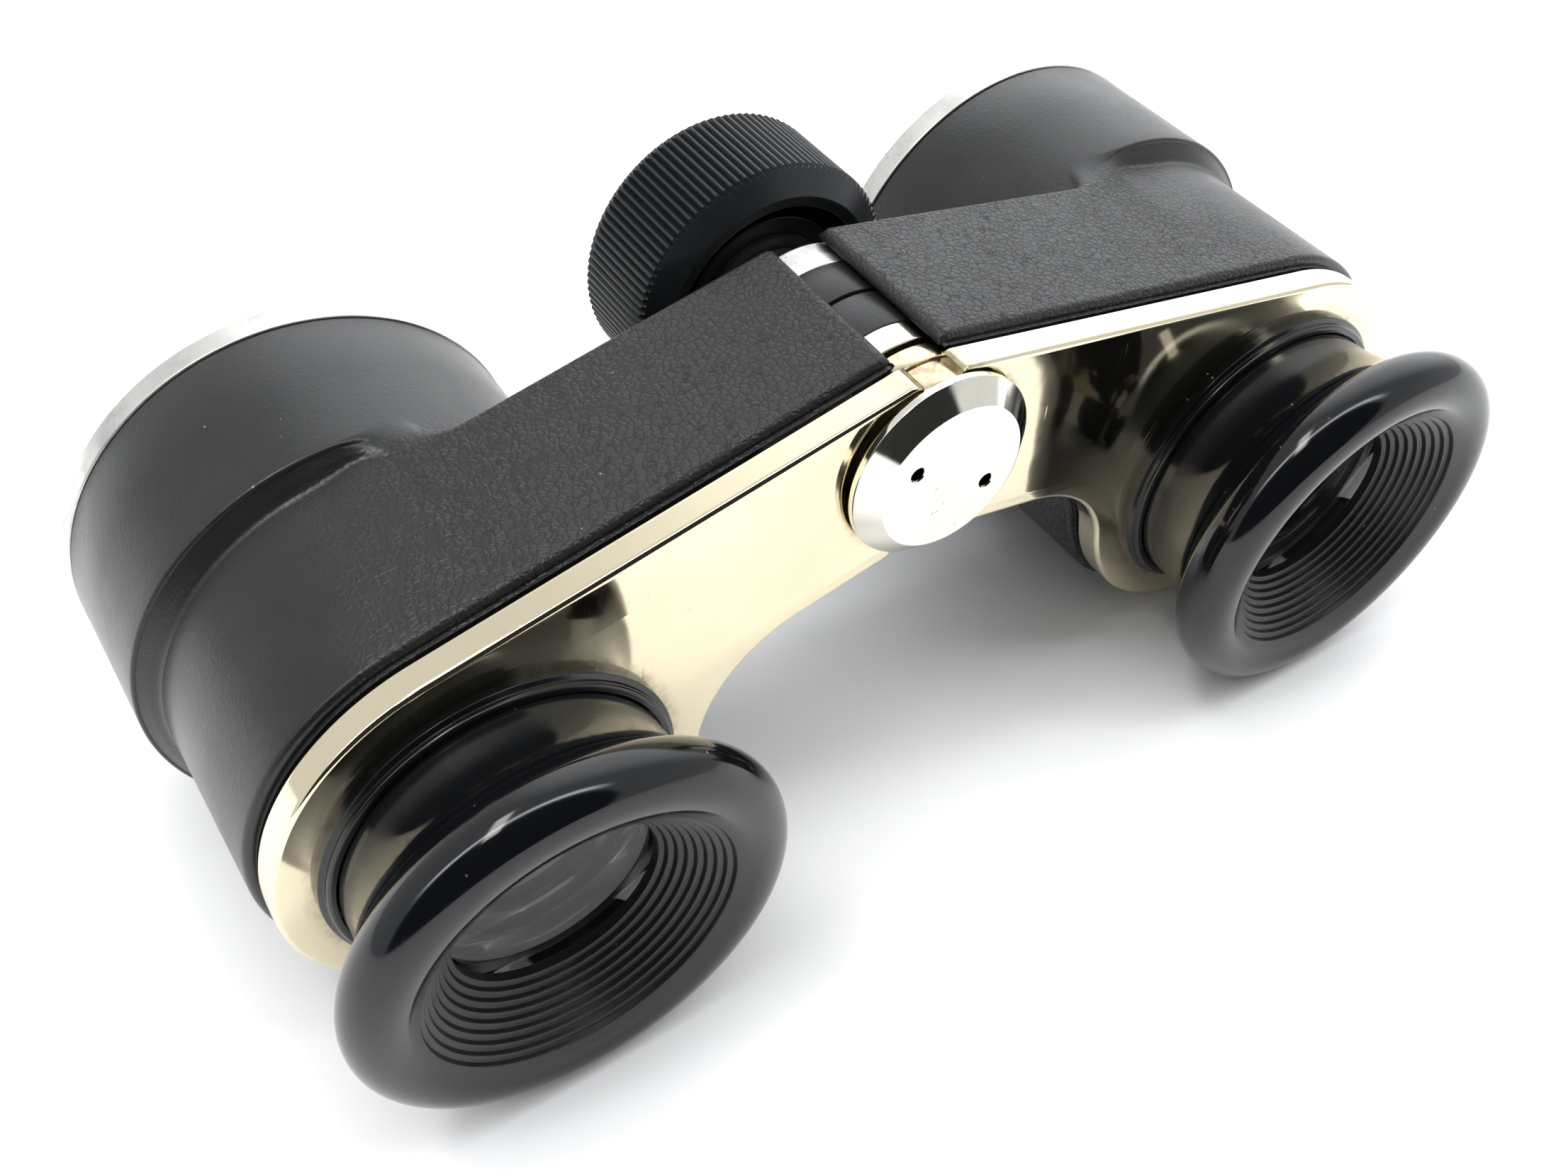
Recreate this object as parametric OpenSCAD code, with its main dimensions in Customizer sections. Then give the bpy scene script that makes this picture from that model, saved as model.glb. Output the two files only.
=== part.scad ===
// Folding opera-glass binoculars: two straight-through telescopes on one centre hinge.
// Millimetres. +Y points from the eyepieces to the objectives, +Z is up, +X is to the
// user's right. The hinge and the focus spindle share one axis, parallel to Y.
// Each half is drawn once in its own half frame: hinge on the Y axis, x outward, flat top
// level, and y = 0 on the eyepiece plate's face. half(side) folds and mirrors it into place.

/* [Optics] */
// Distance from the hinge to a barrel axis, along the flat top
eye_x = 35; // [34:0.5:37]
// Drop of a barrel axis below the hinge axis, square to the flat top
eye_drop = 7.9; // [7.4:0.1:8.2]
// How far each half is folded down from flat, in degrees
fold_deg = 11.66; // [8:0.5:14]

/* [Body] */
// Radius of the body's round end
body_r = 15.5; // [15:0.1:15.8]
// Depth of the hinged arm, from the body's rear face
arm_depth = 13.7; // [13.6:0.1:14]
// Half height of the arm below the hinge axis
arm_low = 7.5; // [7.2:0.1:7.8]
// Radius of the large objective barrel
barrel_r = 17; // [16.6:0.1:17.2]
// Length of the large objective barrel
barrel_len = 13; // [12.8:0.1:14]
// Width of the bright objective ring
ring_w = 2; // [1.5:0.1:2.5]

/* [Eyepiece bridge] */
// Thickness of each bright eyepiece plate
plate_t = 2.2; // [2:0.1:2.2]
// How far the plate's outline is set in from the body's
plate_inset = 0.5; // [0.4:0.1:0.8]
// Outer radius of the eyecup at its rim
cup_r = 14.95; // [14.4:0.05:15.2]
// Height of the eyecup's front above the plate
cup_h = 12.05; // [11.6:0.05:12.6]
// Radius of the hole one looks into
aperture_r = 7.1; // [6.6:0.1:7.3]
// Steps in the eyecup's cone
cup_steps = 8; // [5:1:9]

/* [Hinge and focus] */
// Radius of the hinge knuckles
knuckle_r = 6.5; // [6.3:0.1:6.5]
// Radius of the bright hinge cap
cap_r = 7; // [6.8:0.1:7.2]
// Radius of the focus knob over its knurl
knob_r = 10.3; // [9.8:0.1:11]
// Teeth in the knob's knurl
knob_teeth = 108; // [60:4:120]

/* [Hidden] */

$fn = 96;
big = 60;                      // longer than any cut
slip = 0.05;                   // radial running clearance of a shaft in its hole
seat = 0.02;                   // radial clearance of a fixed piece in its seat
max_half_fold = 28.7;          // most that each half turns down from flat
inner_x = 0.5;                 // a body's inner edge, from the hinge plane
plate_inner_x = 0.15;          // a plate's inner edge, from the hinge plane
hollow_r = knuckle_r + 0.25;   // hollow in a body round the hinge
arm_fillet = 10;               // concave sweep under the arm, into the round end

// Stations along Y
gap = 0.7;                            // dark gap between plate and body
body_y0 = plate_t + gap;              // body's rear face
arm_y1 = body_y0 + arm_depth;         // front of the arm
barrel_y0 = arm_y1 + 2.3;             // rear of the large barrel
barrel_y1 = barrel_y0 + barrel_len;   // front of the large barrel
ring_y1 = barrel_y1 + ring_w;         // front of the bright ring
rear_bush = [4.4, 6.4];
right_lug = [6.45, 10.1];
washer_y = [10.15, 10.35];
left_lug = [10.4, 13.75];
front_bush = [13.8, 16.4];
tube_end = 19.6;
knob_y0 = 19.2;
knob_y1 = 28.1;

// Radii of the telescoping eyepiece, from the outside in
seal_r = 13.4;
guide_r = 12;
draw_r = 11;
draw_bore_r = 10.05;
spigot_r = draw_bore_r - slip;
lens_r = 8.4;
collar_r = 12.4;
collar_h = 1.3;
neck_r = 11.4;
spindle_r = 2.5;
tube_r = 4.2;
journal_r = 3.4;

// The part's frame: origin under the middle of its box
axis_drop = eye_x * sin(fold_deg) + eye_drop * cos(fold_deg);
ring_r = barrel_r + 0.1;
frame_shift = [0, (cup_h - ring_y1) / 2, axis_drop + ring_r];

BLACK = [0.09, 0.09, 0.10];
GLOSS = [0.04, 0.04, 0.05];
NICKEL = [0.86, 0.80, 0.70];
BRIGHT = [0.85, 0.84, 0.80];
SILVER = [0.78, 0.78, 0.76];
STEEL = [0.60, 0.61, 0.63];
BRASS = [0.77, 0.62, 0.30];
FELT = [0.16, 0.15, 0.14];
GLASS = [0.70, 0.80, 0.82, 0.5];

// ---------- placing and turning ----------

// Folds the half frame into place: side 1 is right, -1 is left
module half(side)
    translate(frame_shift) rotate([0, side * fold_deg, 0])
        mirror([side < 0 ? 1 : 0, 0, 0]) children();

module at_hinge() translate(frame_shift) children();

// Moves from the half frame's hinge to its optical axis
module at_eye() translate([eye_x, 0, -eye_drop]) children();

// Stands a shape drawn in r and y round the Y axis
module turned(points) rotate([-90, 0, 0]) rotate_extrude() polygon(points);

module rod(r, y0, y1) translate([0, y0, 0]) rotate([-90, 0, 0]) cylinder(r = r, h = y1 - y0);

module tube(ro, ri, y0, y1)
    difference() {
        rod(ro, y0, y1);
        rod(ri, y0 - 1, y1 + 1);
    }

// Stretches a shape drawn in x and z from y0 to y1
module slab(y0, y1) translate([0, y1, 0]) rotate([90, 0, 0]) linear_extrude(y1 - y0) children();

// Outline of one half seen along Y: a level arm that sweeps into a round end.
// The sweep under the arm is a circle that touches both the arm's underside and the round end.
module half_outline(x0, inset) {
    end_r = body_r - inset;
    top = end_r - eye_drop;
    low = -(arm_low - inset);
    sweep_z = low - arm_fillet;
    sweep_x = eye_x - sqrt(pow(end_r + arm_fillet, 2) - pow(sweep_z + eye_drop, 2));
    low_x = -low * tan(max_half_fold) + 0.4;
    translate([eye_x, -eye_drop]) circle(end_r);
    difference() {
        polygon([[x0, top], [eye_x, top], [eye_x, -eye_drop], [sweep_x, sweep_z],
                 [sweep_x, low], [low_x, low], [x0, 0]]);
        translate([sweep_x, sweep_z]) circle(arm_fillet);
    }
}

// ---------- body halves ----------

// The fan of directions, seen from the barrel's axis, in which the arm leaves it. It starts
// where the barrel's circle comes up through the flat top.
behind_r = barrel_r - 0.05;
tip_a = 179 - asin(body_r / behind_r);
sweep_drop = arm_low + arm_fillet - eye_drop;
sweep_a = 180 + asin(sweep_drop / (body_r + arm_fillet));

// Everything of a body that belongs to the telescope: round end, step and large barrel.
// The step is a quarter of an ellipse, hollow, from the round end out to the barrel.
step_rise = barrel_r - body_r;
step_len = barrel_y0 - arm_y1 - 0.8;
module telescope() {
    at_eye() {
        rod(body_r, arm_y1 - 1, barrel_y0 + 0.5);
        rod(barrel_r, barrel_y0, barrel_y1);
        turned(concat([[10, barrel_y0 + 1], [10, barrel_y0 - step_len - 1],
            [body_r - 0.3, barrel_y0 - step_len - 0.4]], [for (a = [15 : 15 : 90])
            [barrel_r - step_rise * cos(a), barrel_y0 - step_len * (1 - sin(a))]],
            [[barrel_r - 0.02, barrel_y0 + 1]]));
    }
    // the flat top runs on to where it meets the barrel
    slab(arm_y1 - 0.5, barrel_y0 + 0.5) polygon([
        [eye_x + behind_r * cos(tip_a) - 0.3, body_r - eye_drop],
        [eye_x, body_r - eye_drop], [eye_x, -eye_drop]]);
    // behind the arm the barrel runs back to the arm's front
    slab(arm_y1 - 0.5, barrel_y0 + 0.5) translate([eye_x, -eye_drop]) intersection() {
        circle(behind_r);
        polygon([[0, 0], for (a = [tip_a, 150, 175, sweep_a]) big * [cos(a), sin(a)]]);
    }
}

// One casting: hinged arm and telescope. lug is the y span of this half's own knuckle.
module body(lug) color(BLACK) difference() {
    union() {
        slab(body_y0, arm_y1) half_outline(inner_x, 0);
        slab(body_y0 - 0.35, body_y0 + 1) half_outline(inner_x + 0.5, 0.8);
        telescope();
        rod(knuckle_r, lug[0], lug[1]);
    }
    // room for the other half's knuckle, before and after this half's own
    rod(hollow_r, body_y0 - 1, lug[0]);
    rod(hollow_r, lug[1], big);
    // bore for the hinge tube
    rod(tube_r + slip, 0, big);
    // pocket for the plate's knuckle and its web
    translate([-1, 0, -6.2]) cube([11.2, body_y0 + 1.3, 12.4]);
    // core between the hinge and the eyepiece
    translate([11.4, 0, -5.8]) cube([8.8, arm_y1 - 1.4, 12]);
    at_eye() {
        rod(guide_r + seat, 0, big);
        rod(seal_r + seat, 0, body_y0 + 1.5);
        rod(13.5, arm_y1 + 0.4, big);
        rod(15.4, barrel_y0 + 2, big);
    }
}

module guide_tube() color(BRASS) at_eye() tube(guide_r, draw_r + slip, body_y0 + 1.6, arm_y1 + 0.3);
module dust_seal() color(FELT) at_eye() tube(seal_r, draw_r + 0.1, body_y0 - 0.2, body_y0 + 1.4);

module objective_cell() color(BLACK) at_eye() turned([
    [13.4, 23.4], [15.38, 23.4], [15.38, 29.8], [14.3, 29.8], [14.3, 24.4], [13.4, 24.4]]);

// Cemented doublet: the crown's front face and the face it shares with the flint are spherical
crown_front_r = 70;
cement_r = 60;
module objective_crown() color(GLASS) at_eye() intersection() {
    rod(14.26, 20, 30);
    translate([0, 29 - crown_front_r, 0]) sphere(crown_front_r);
    translate([0, 25.4 + cement_r, 0]) sphere(cement_r);
}

module objective_flint() color(GLASS) at_eye() difference() {
    rod(14.26, 24.45, 27);
    translate([0, 25.35 + cement_r, 0]) sphere(cement_r);
}

module objective_retainer() color(BLACK) at_eye() tube(14.28, 13.5, 27.75, 29.2);

module objective_ring() color(SILVER) at_eye() turned([
    [14.6, 30.3], [15.38, 30.3], [15.38, barrel_y1], [ring_r, barrel_y1], [ring_r, ring_y1 - 0.3],
    [ring_r - 0.3, ring_y1], [15.3, ring_y1], [14.6, ring_y1 - 0.7]]);

// ---------- eyepiece bridge ----------

module plate_slab() slab(0, plate_t) half_outline(plate_inner_x, plate_inset);

// The left plate's knuckle stands behind the right one's, on a web beyond it
module left_plate() color(NICKEL) difference() {
    union() {
        difference() {
            plate_slab();
            rod(hollow_r, -1, plate_t + 1);
        }
        rod(knuckle_r, plate_t + 0.1, 3.9);
        translate([3, plate_t + 0.1, -5.5]) cube([7, 3.9 - plate_t - 0.1, 11]);
        translate([7, 1, -5.5]) cube([3, 2, 11]);
    }
    rod(spindle_r + seat, -1, big);
    at_eye() rod(draw_r + seat, -1, big);
}

module right_plate() color(NICKEL) difference() {
    union() {
        difference() {
            plate_slab();
            rod(hollow_r, plate_t - 0.1, plate_t + 1);
        }
        rod(knuckle_r, 0, plate_t - 0.1);
    }
    rod(spindle_r + slip, -1, big);
    at_eye() rod(draw_r + seat, -1, big);
}

module draw_tube() color(STEEL) at_eye() tube(draw_r, draw_bore_r, 0, 15.5);
module field_stop() color(BLACK) at_eye() tube(draw_bore_r - seat, 8.6, 13.9, 15.3);

// The collar's bore clears the cup's neck, which slides in it on the right half
module collar() color(GLOSS) at_eye() turned([
    [neck_r + slip, -collar_h], [collar_r - 0.35, -collar_h], [collar_r - 0.35, -0.75],
    [collar_r, -0.6], [collar_r, 0], [neck_r + slip, 0]]);

// Eyecup in r and y: spigot, neck, trumpet curve, round rim, then the stepped cone
rim_tube = 2.25;
rim_c = [cup_r - rim_tube, rim_tube - cup_h];
function on_rim(a) = rim_c + rim_tube * [cos(a), sin(a)];
// Quadratic curve from p to q, pulled towards m
function curve(p, m, q, n) = [for (i = [0 : n]) let (t = i / n)
    (1 - t) * (1 - t) * p + 2 * t * (1 - t) * m + t * t * q];
flare_a = 50;
cup_neck_y = -2.1;
flare_p = on_rim(flare_a);
flare_m = [neck_r, flare_p[1] + (flare_p[0] - neck_r) * cos(flare_a) / sin(flare_a)];
cone_p = on_rim(-122);
step_dr = (cone_p[0] - aperture_r) / cup_steps;
step_dy = (-7.6 - cone_p[1]) / cup_steps;
cup_points = concat(
    [[lens_r + 0.1, 5], [spigot_r, 5], [spigot_r, -0.8], [neck_r, -0.8]],
    curve([neck_r, cup_neck_y], flare_m, flare_p, 10),
    [for (a = [flare_a - 12 : -12.3 : -120]) on_rim(a)],
    [for (i = [0 : cup_steps - 1]) each [
        cone_p + i * [-step_dr, step_dy],
        cone_p + [-(i + 0.25) * step_dr, (i + 0.85) * step_dy]]],
    [[aperture_r, -7.6], [aperture_r, -6.9], [lens_r + 0.1, -6.9]]);

module eyecup() color(GLOSS) at_eye() turned(cup_points);

// Biconcave lens, both faces of radius 20
module eye_lens() color(GLASS) at_eye() difference() {
    rod(lens_r + 0.08, -6.88, -3.5);
    translate([0, -5.7 - 20, 0]) sphere(20);
    translate([0, -4.5 + 20, 0]) sphere(20);
}

module eye_lens_retainer() color(BLACK) at_eye() tube(lens_r + 0.08, 7.2, -3.45, -2.2);

// ---------- hinge and focus ----------

module hinge_tube() color(STEEL) at_hinge() difference() {
    rod(tube_r, rear_bush[0], tube_end);
    rod(spindle_r + slip, 0, big);
    rod(journal_r + slip, 14.9, big);
    keeper(0.4, 0.4);
}

module bush(y, c) color(c) at_hinge() difference() {
    tube(knuckle_r, tube_r + seat, y[0], y[1]);
    keeper(0.4, 1);
}

// The screw that keeps the focus nut from coming off; grow and extra make its hole
module keeper(r, extra) translate([0, 15.7, -knuckle_r - extra]) cylinder(r = r, h = 3.5 + extra);
module keeper_screw() color(STEEL) at_hinge() translate([0, 0, -0.15]) keeper(0.38, -0.2);

module hinge_washer() color(STEEL) at_hinge() tube(5.9, tube_r + slip, washer_y[0], washer_y[1]);

module focus_spindle() color(STEEL) at_hinge() {
    rod(spindle_r, -1.5, 26.6);
    rod(4.2, 3.95, 4.15);
}

module cap_washer() color(BLACK) at_hinge() tube(6.1, spindle_r + seat, -0.3, -0.02);

// Bevelled cap with a pair of spanner holes, screwed on the spindle's end
module hinge_cap() color(BRIGHT) at_hinge() difference() {
    turned([[0, -2.1], [cap_r - 1.5, -2.1], [cap_r, -0.85], [cap_r, -0.32], [0, -0.32]]);
    rod(spindle_r + seat, -1.52, 0);
    for (s = [-1, 1]) rotate([0, 30, 0]) translate([s * 3.4, 0, 0]) rod(0.5, -3, -1.2);
}

// Straight knurl: a ring of small teeth, two points to a tooth, standing on a plain core
knurl_depth = 0.35;
core_r = knob_r - knurl_depth - 0.2;
module knurl(y0, y1) slab(y0, y1) polygon([for (i = [0 : 2 * knob_teeth - 1])
    let (a = 180 * i / knob_teeth, r = knob_r - (i % 2) * knurl_depth) r * [cos(a), sin(a)]]);

module focus_knob() color(BLACK) at_hinge() difference() {
    union() {
        turned([[0, knob_y0], [8.4, knob_y0], [core_r, 20.4], [core_r, 27.7],
                [core_r - 0.4, knob_y1], [0, knob_y1]]);
        knurl(20.5, 27.6);
    }
    tube(7.6, 6.3, knob_y0 - 1, 23.6);
    rod(6.5, knob_y0 - 1, 20.2);
    rod(5 + seat, 0, big);
    rod(9, 26.9, big);
}

module focus_nut() color(BLACK) at_hinge() difference() {
    union() {
        rod(journal_r, 15, 19.9);
        rod(5, 19.8, 25.2);
    }
    rod(spindle_r + slip, 0, big);
    tube(4, 3.05, 15.3, 16.1);
}

module knob_end_plate() color(BLACK) at_hinge() rod(8.98, 26.95, 27.9);

// ---------- nodes ----------

half(-1) body(left_lug);  // left_body
half(-1) guide_tube();  // left_guide_tube
half(-1) dust_seal();  // left_dust_seal
half(-1) objective_cell();  // left_objective_cell
half(-1) objective_crown();  // left_objective_crown
half(-1) objective_flint();  // left_objective_flint
half(-1) objective_retainer();  // left_objective_retainer
half(-1) objective_ring();  // left_objective_ring
half(1) body(right_lug);  // right_body
half(1) guide_tube();  // right_guide_tube
half(1) dust_seal();  // right_dust_seal
half(1) objective_cell();  // right_objective_cell
half(1) objective_crown();  // right_objective_crown
half(1) objective_flint();  // right_objective_flint
half(1) objective_retainer();  // right_objective_retainer
half(1) objective_ring();  // right_objective_ring
half(-1) left_plate();  // left_eyepiece_plate
half(-1) draw_tube();  // left_draw_tube
half(-1) field_stop();  // left_field_stop
half(-1) collar();  // left_collar
half(-1) eyecup();  // left_eyecup
half(-1) eye_lens();  // left_eye_lens
half(-1) eye_lens_retainer();  // left_eye_lens_retainer
half(1) right_plate();  // right_eyepiece_plate
half(1) draw_tube();  // right_draw_tube
half(1) field_stop();  // right_field_stop
half(1) collar();  // right_dioptre_ring
half(1) eyecup();  // right_eyecup
half(1) eye_lens();  // right_eye_lens
half(1) eye_lens_retainer();  // right_eye_lens_retainer
hinge_tube();
bush(front_bush, SILVER);  // front_hinge_bush
bush(rear_bush, NICKEL);  // rear_hinge_bush
hinge_washer();
keeper_screw();
focus_spindle();
cap_washer();
hinge_cap();
focus_knob();
focus_nut();
knob_end_plate();
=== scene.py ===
# %% [markdown]
# # Folding opera-glass binoculars
#
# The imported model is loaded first. It fixes every size, place and joint. This script builds the
# surfaces that are looked at round that frame: enamelled castings with rounded edges, polished
# plates, glossy eyecups, a knurled knob, bright fittings and glass. Each step says what the piece
# is on the real object, how it could be made in Blender, and why it is made the way it is here.

# %% Load the frame
import bmesh
import bpy
import numpy as np
from mathutils import Matrix, Vector
from mathutils.geometry import tessellate_polygon


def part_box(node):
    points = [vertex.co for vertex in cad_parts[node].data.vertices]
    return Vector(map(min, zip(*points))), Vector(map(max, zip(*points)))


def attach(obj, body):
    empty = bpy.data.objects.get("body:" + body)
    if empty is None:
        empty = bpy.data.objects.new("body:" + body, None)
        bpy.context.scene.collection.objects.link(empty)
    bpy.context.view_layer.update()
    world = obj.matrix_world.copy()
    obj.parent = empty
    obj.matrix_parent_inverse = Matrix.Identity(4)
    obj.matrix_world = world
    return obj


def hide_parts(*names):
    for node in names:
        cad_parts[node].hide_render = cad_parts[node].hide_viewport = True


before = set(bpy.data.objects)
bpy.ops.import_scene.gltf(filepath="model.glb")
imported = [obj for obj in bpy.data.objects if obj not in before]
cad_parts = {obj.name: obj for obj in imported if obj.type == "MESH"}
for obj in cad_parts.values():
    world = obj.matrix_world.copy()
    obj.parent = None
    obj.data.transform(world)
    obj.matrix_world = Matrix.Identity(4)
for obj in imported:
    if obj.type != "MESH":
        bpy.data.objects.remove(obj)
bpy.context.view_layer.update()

# %% [markdown]
# ## Where things are
#
# Each half of the binoculars is worked out once, in its own half frame in millimetres: the hinge
# is the Y axis, x runs outward to the eyepiece, the flat top is level, and y = 0 is the face of the
# eyepiece plate. Folding that frame about the hinge, and mirroring it for the left side, puts a
# shape in place. The hinge, the plate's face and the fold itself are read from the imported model,
# so a shape lands where the CAD has its node and nothing is fitted by eye.

# %% Hinge, fold and sizes
MM = 0.001
EYE_X, EYE_DROP = 35.0, 7.9
SIDES = {"left": -1, "right": 1}

plate_low = np.array(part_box("right_eyepiece_plate")[0])
cup_low, cup_high = (np.array(corner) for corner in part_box("right_eyecup"))
ring_low, ring_high = (np.array(corner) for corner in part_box("right_objective_ring"))
knob_low, knob_high = (np.array(corner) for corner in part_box("focus_knob"))
HINGE = np.array([0.0, plate_low[1], (knob_low[2] + knob_high[2]) / 2])
eye_centre = (cup_low + cup_high) / 2
FOLD = np.arctan2(-(eye_centre[2] - HINGE[2]), eye_centre[0]) - np.arctan2(EYE_DROP, EYE_X)
CUP_R = (cup_high[0] - cup_low[0]) / 2 / MM
CUP_TOP = (cup_low[1] - HINGE[1]) / MM
RING_R = (ring_high[0] - ring_low[0]) / 2 / MM
RING_FRONT = (ring_high[1] - HINGE[1]) / MM
KNOB_R = (knob_high[0] - knob_low[0]) / 2 / MM
KNOB_Y0, KNOB_Y1 = (knob_low[1] - HINGE[1]) / MM, (knob_high[1] - HINGE[1]) / MM
print(f"fold {np.degrees(FOLD):.2f} deg, cup r {CUP_R:.2f}, ring r {RING_R:.2f}, knob r {KNOB_R:.2f}")

# %% Folding a shape into place
def place(points, side):
    """From a half frame in mm to the model's frame in metres.

    The fold f turns about the hinge: x' = s (x cos f + z sin f), z' = z cos f - x sin f, with s = 1
    on the right and -1 on the left. Side 0 is for pieces on the hinge itself, which don't fold."""
    x, y, z = np.moveaxis(np.asarray(points, float), -1, 0)
    if side:
        x, z = side * (x * np.cos(FOLD) + z * np.sin(FOLD)), z * np.cos(FOLD) - x * np.sin(FOLD)
    return HINGE + MM * np.stack([x, y, z], -1)


def unplace(points, side):
    """Back from the model's frame in metres to a half frame in mm, the inverse of place."""
    x, y, z = np.moveaxis((np.asarray(points, float) - HINGE) / MM, -1, 0)
    if side:
        x = side * x
        x, z = x * np.cos(FOLD) - z * np.sin(FOLD), z * np.cos(FOLD) + x * np.sin(FOLD)
    return np.stack([x, y, z], -1)

# %% [markdown]
# ## From arrays to meshes
#
# Nearly every piece here was turned, milled or cast, so nearly every surface is a profile carried
# round an axis or along an outline. numpy works out the whole grid of points at once. A shell is a
# list of points and a list of faces. Points that fall on each other, at seams and poles, are
# merged, and the faces are then turned outward. Edges sharper than a machined corner stay
# sharp, and the rest shade smooth.

# %% Grids, flat faces and pieces
def grid(points, skip=None, close_u=True, close_v=False):
    """Quads over an array of points[u, v]. skip[u, v] leaves quads out, for a flat face to fill."""
    nu, nv = points.shape[:2]
    ids = np.arange(nu * nv).reshape(nu, nv)
    ids = np.concatenate([ids, ids[:1]], 0) if close_u else ids
    ids = np.concatenate([ids, ids[:, :1]], 1) if close_v else ids
    quads = np.stack([ids[:-1, :-1], ids[1:, :-1], ids[1:, 1:], ids[:-1, 1:]], -1)
    quads = quads.reshape(-1, 4) if skip is None else quads[~skip]
    return points.reshape(-1, 3), quads.tolist()


def flat_face(points, *loops):
    """Triangles between loops of point numbers that lie in one plane: the first is the outline,
    the others are holes."""
    numbers = np.concatenate(loops)
    corners = [[Vector((points[i][0], points[i][2], 0)) for i in loop] for loop in loops]
    return [[int(numbers[k]) for k in triangle] for triangle in tessellate_polygon(corners)]


def make_piece(name, shells, side, body, nodes):
    """One object from (points, faces) shells in a half frame, riding on a CAD body."""
    mesh = bpy.data.meshes.new(name)
    starts = np.cumsum([0] + [len(points) for points, faces in shells])
    points = place(np.concatenate([points for points, faces in shells]), side)
    faces = [[int(start) + i for i in face] for start, (_, shell) in zip(starts, shells) for face in shell]
    mesh.from_pydata(points.tolist(), [], faces)
    work = bmesh.new()
    work.from_mesh(mesh)
    bmesh.ops.remove_doubles(work, verts=work.verts, dist=2e-7)
    bmesh.ops.recalc_face_normals(work, faces=work.faces)
    work.to_mesh(mesh)
    work.free()
    mesh.polygons.foreach_set("use_smooth", np.ones(len(mesh.polygons), bool))
    mesh.set_sharp_from_angle(angle=np.radians(34))
    piece = bpy.data.objects.new(name, mesh)
    bpy.context.scene.collection.objects.link(piece)
    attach(piece, body)
    if nodes:
        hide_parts(*nodes)
    print(f"{name}: {len(mesh.vertices)} points, {len(mesh.polygons)} faces")
    return piece

# %% Profiles with rounded corners
SUPPORT = 0.05


def arc(centre, radius, start, end, steps):
    """Points on a circle about centre, from start to end degrees."""
    a = np.radians(np.linspace(start, end, steps))
    return np.stack([centre[0] + radius * np.cos(a), centre[1] + radius * np.sin(a)], -1)


def rounded(corners, steps=5):
    """A polyline through (a, b, radius) corners. Each corner with a radius becomes an arc tangent
    to its two edges, with a support point just before and after it that keeps the flats flat.

    For a corner P with unit edge directions u in and v out and turn 2t, the arc starts at
    P - u r tan t and its centre is r off the edge, on the inside of the turn."""
    corners = np.array(corners, float)
    out = [corners[0, :2]]
    for before, corner, after in zip(corners[:-2, :2], corners[1:-1], corners[2:, :2]):
        point, radius = corner[:2], corner[2]
        u = (point - before) / np.linalg.norm(point - before)
        v = (after - point) / np.linalg.norm(after - point)
        turn = np.arctan2(u[0] * v[1] - u[1] * v[0], u @ v)
        if radius <= 0 or abs(turn) < 0.02:
            out.append(point)
            continue
        reach = radius * np.tan(abs(turn) / 2)
        side = np.array([-u[1], u[0]]) * np.sign(turn)
        centre = point - u * reach + side * radius
        a = np.linspace(0, turn, steps + 1)[:, None]
        spoke = point - u * reach - centre
        swept = centre + spoke * np.cos(a) + np.array([-spoke[1], spoke[0]]) * np.sin(a)
        support = min(SUPPORT, 0.3 * radius)
        out += [swept[0] - u * support, *swept, swept[-1] + v * support]
    out.append(corners[-1, :2])
    return np.array(out)


def carried_round(profile, a, centre=(0.0, 0.0)):
    """Points (cx + r cos a, y, cz + r sin a) for each angle a and each (r, y) of the profile."""
    r, y, a = profile[None, :, 0], profile[None, :, 1], a[:, None]
    return np.stack([centre[0] + r * np.cos(a), y + 0 * a, centre[1] + r * np.sin(a)], -1)


def turned(profile, eye=True, steps=192, closed=True):
    """A lathe surface about the optical axis or, with eye=False, about the hinge."""
    a = np.linspace(0, 2 * np.pi, steps, endpoint=False)
    centre = (EYE_X, -EYE_DROP) if eye else (0.0, 0.0)
    return grid(carried_round(profile, a, centre), close_v=closed)

# %% [markdown]
# ## Shader helpers and shared effects
#
# Four things happen on many of this object's finishes: fine bumps, specks of dust, hairline
# scratches, and grime that has collected in places. Each is a node group built once, with
# named inputs, and each finish uses it with its own values. The groups read the object's own
# coordinates, so a pattern stays on its piece when the binoculars fold.

# %% Node helpers
def add(tree, kind, links=(), **values):
    """A node with its properties and inputs set. links are (input, output socket) pairs."""
    node = tree.nodes.new(kind)
    for key, value in values.items():
        if key in node.inputs:
            node.inputs[key].default_value = value
        else:
            setattr(node, key, value)
    for key, socket in links:
        tree.links.new(socket, node.inputs[key])
    return node


def math(tree, operation, a, b=0.0, clamp=False):
    """One Math node on sockets or numbers, and its output."""
    node = tree.nodes.new("ShaderNodeMath")
    node.operation, node.use_clamp = operation, clamp
    for socket, value in zip(node.inputs, (a, b)):
        if isinstance(value, bpy.types.NodeSocket):
            tree.links.new(value, socket)
        else:
            socket.default_value = value
    return node.outputs[0]


def ramp(tree, value, low, high, to_low=0.0, to_high=1.0):
    """A smooth step of a value from low..high to to_low..to_high."""
    node = add(tree, "ShaderNodeMapRange", [("Value", value)], interpolation_type="SMOOTHSTEP")
    for key, number in zip(("From Min", "From Max", "To Min", "To Max"), (low, high, to_low, to_high)):
        if isinstance(number, bpy.types.NodeSocket):
            tree.links.new(number, node.inputs[key])
        else:
            node.inputs[key].default_value = number
    return node.outputs["Result"]


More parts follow.
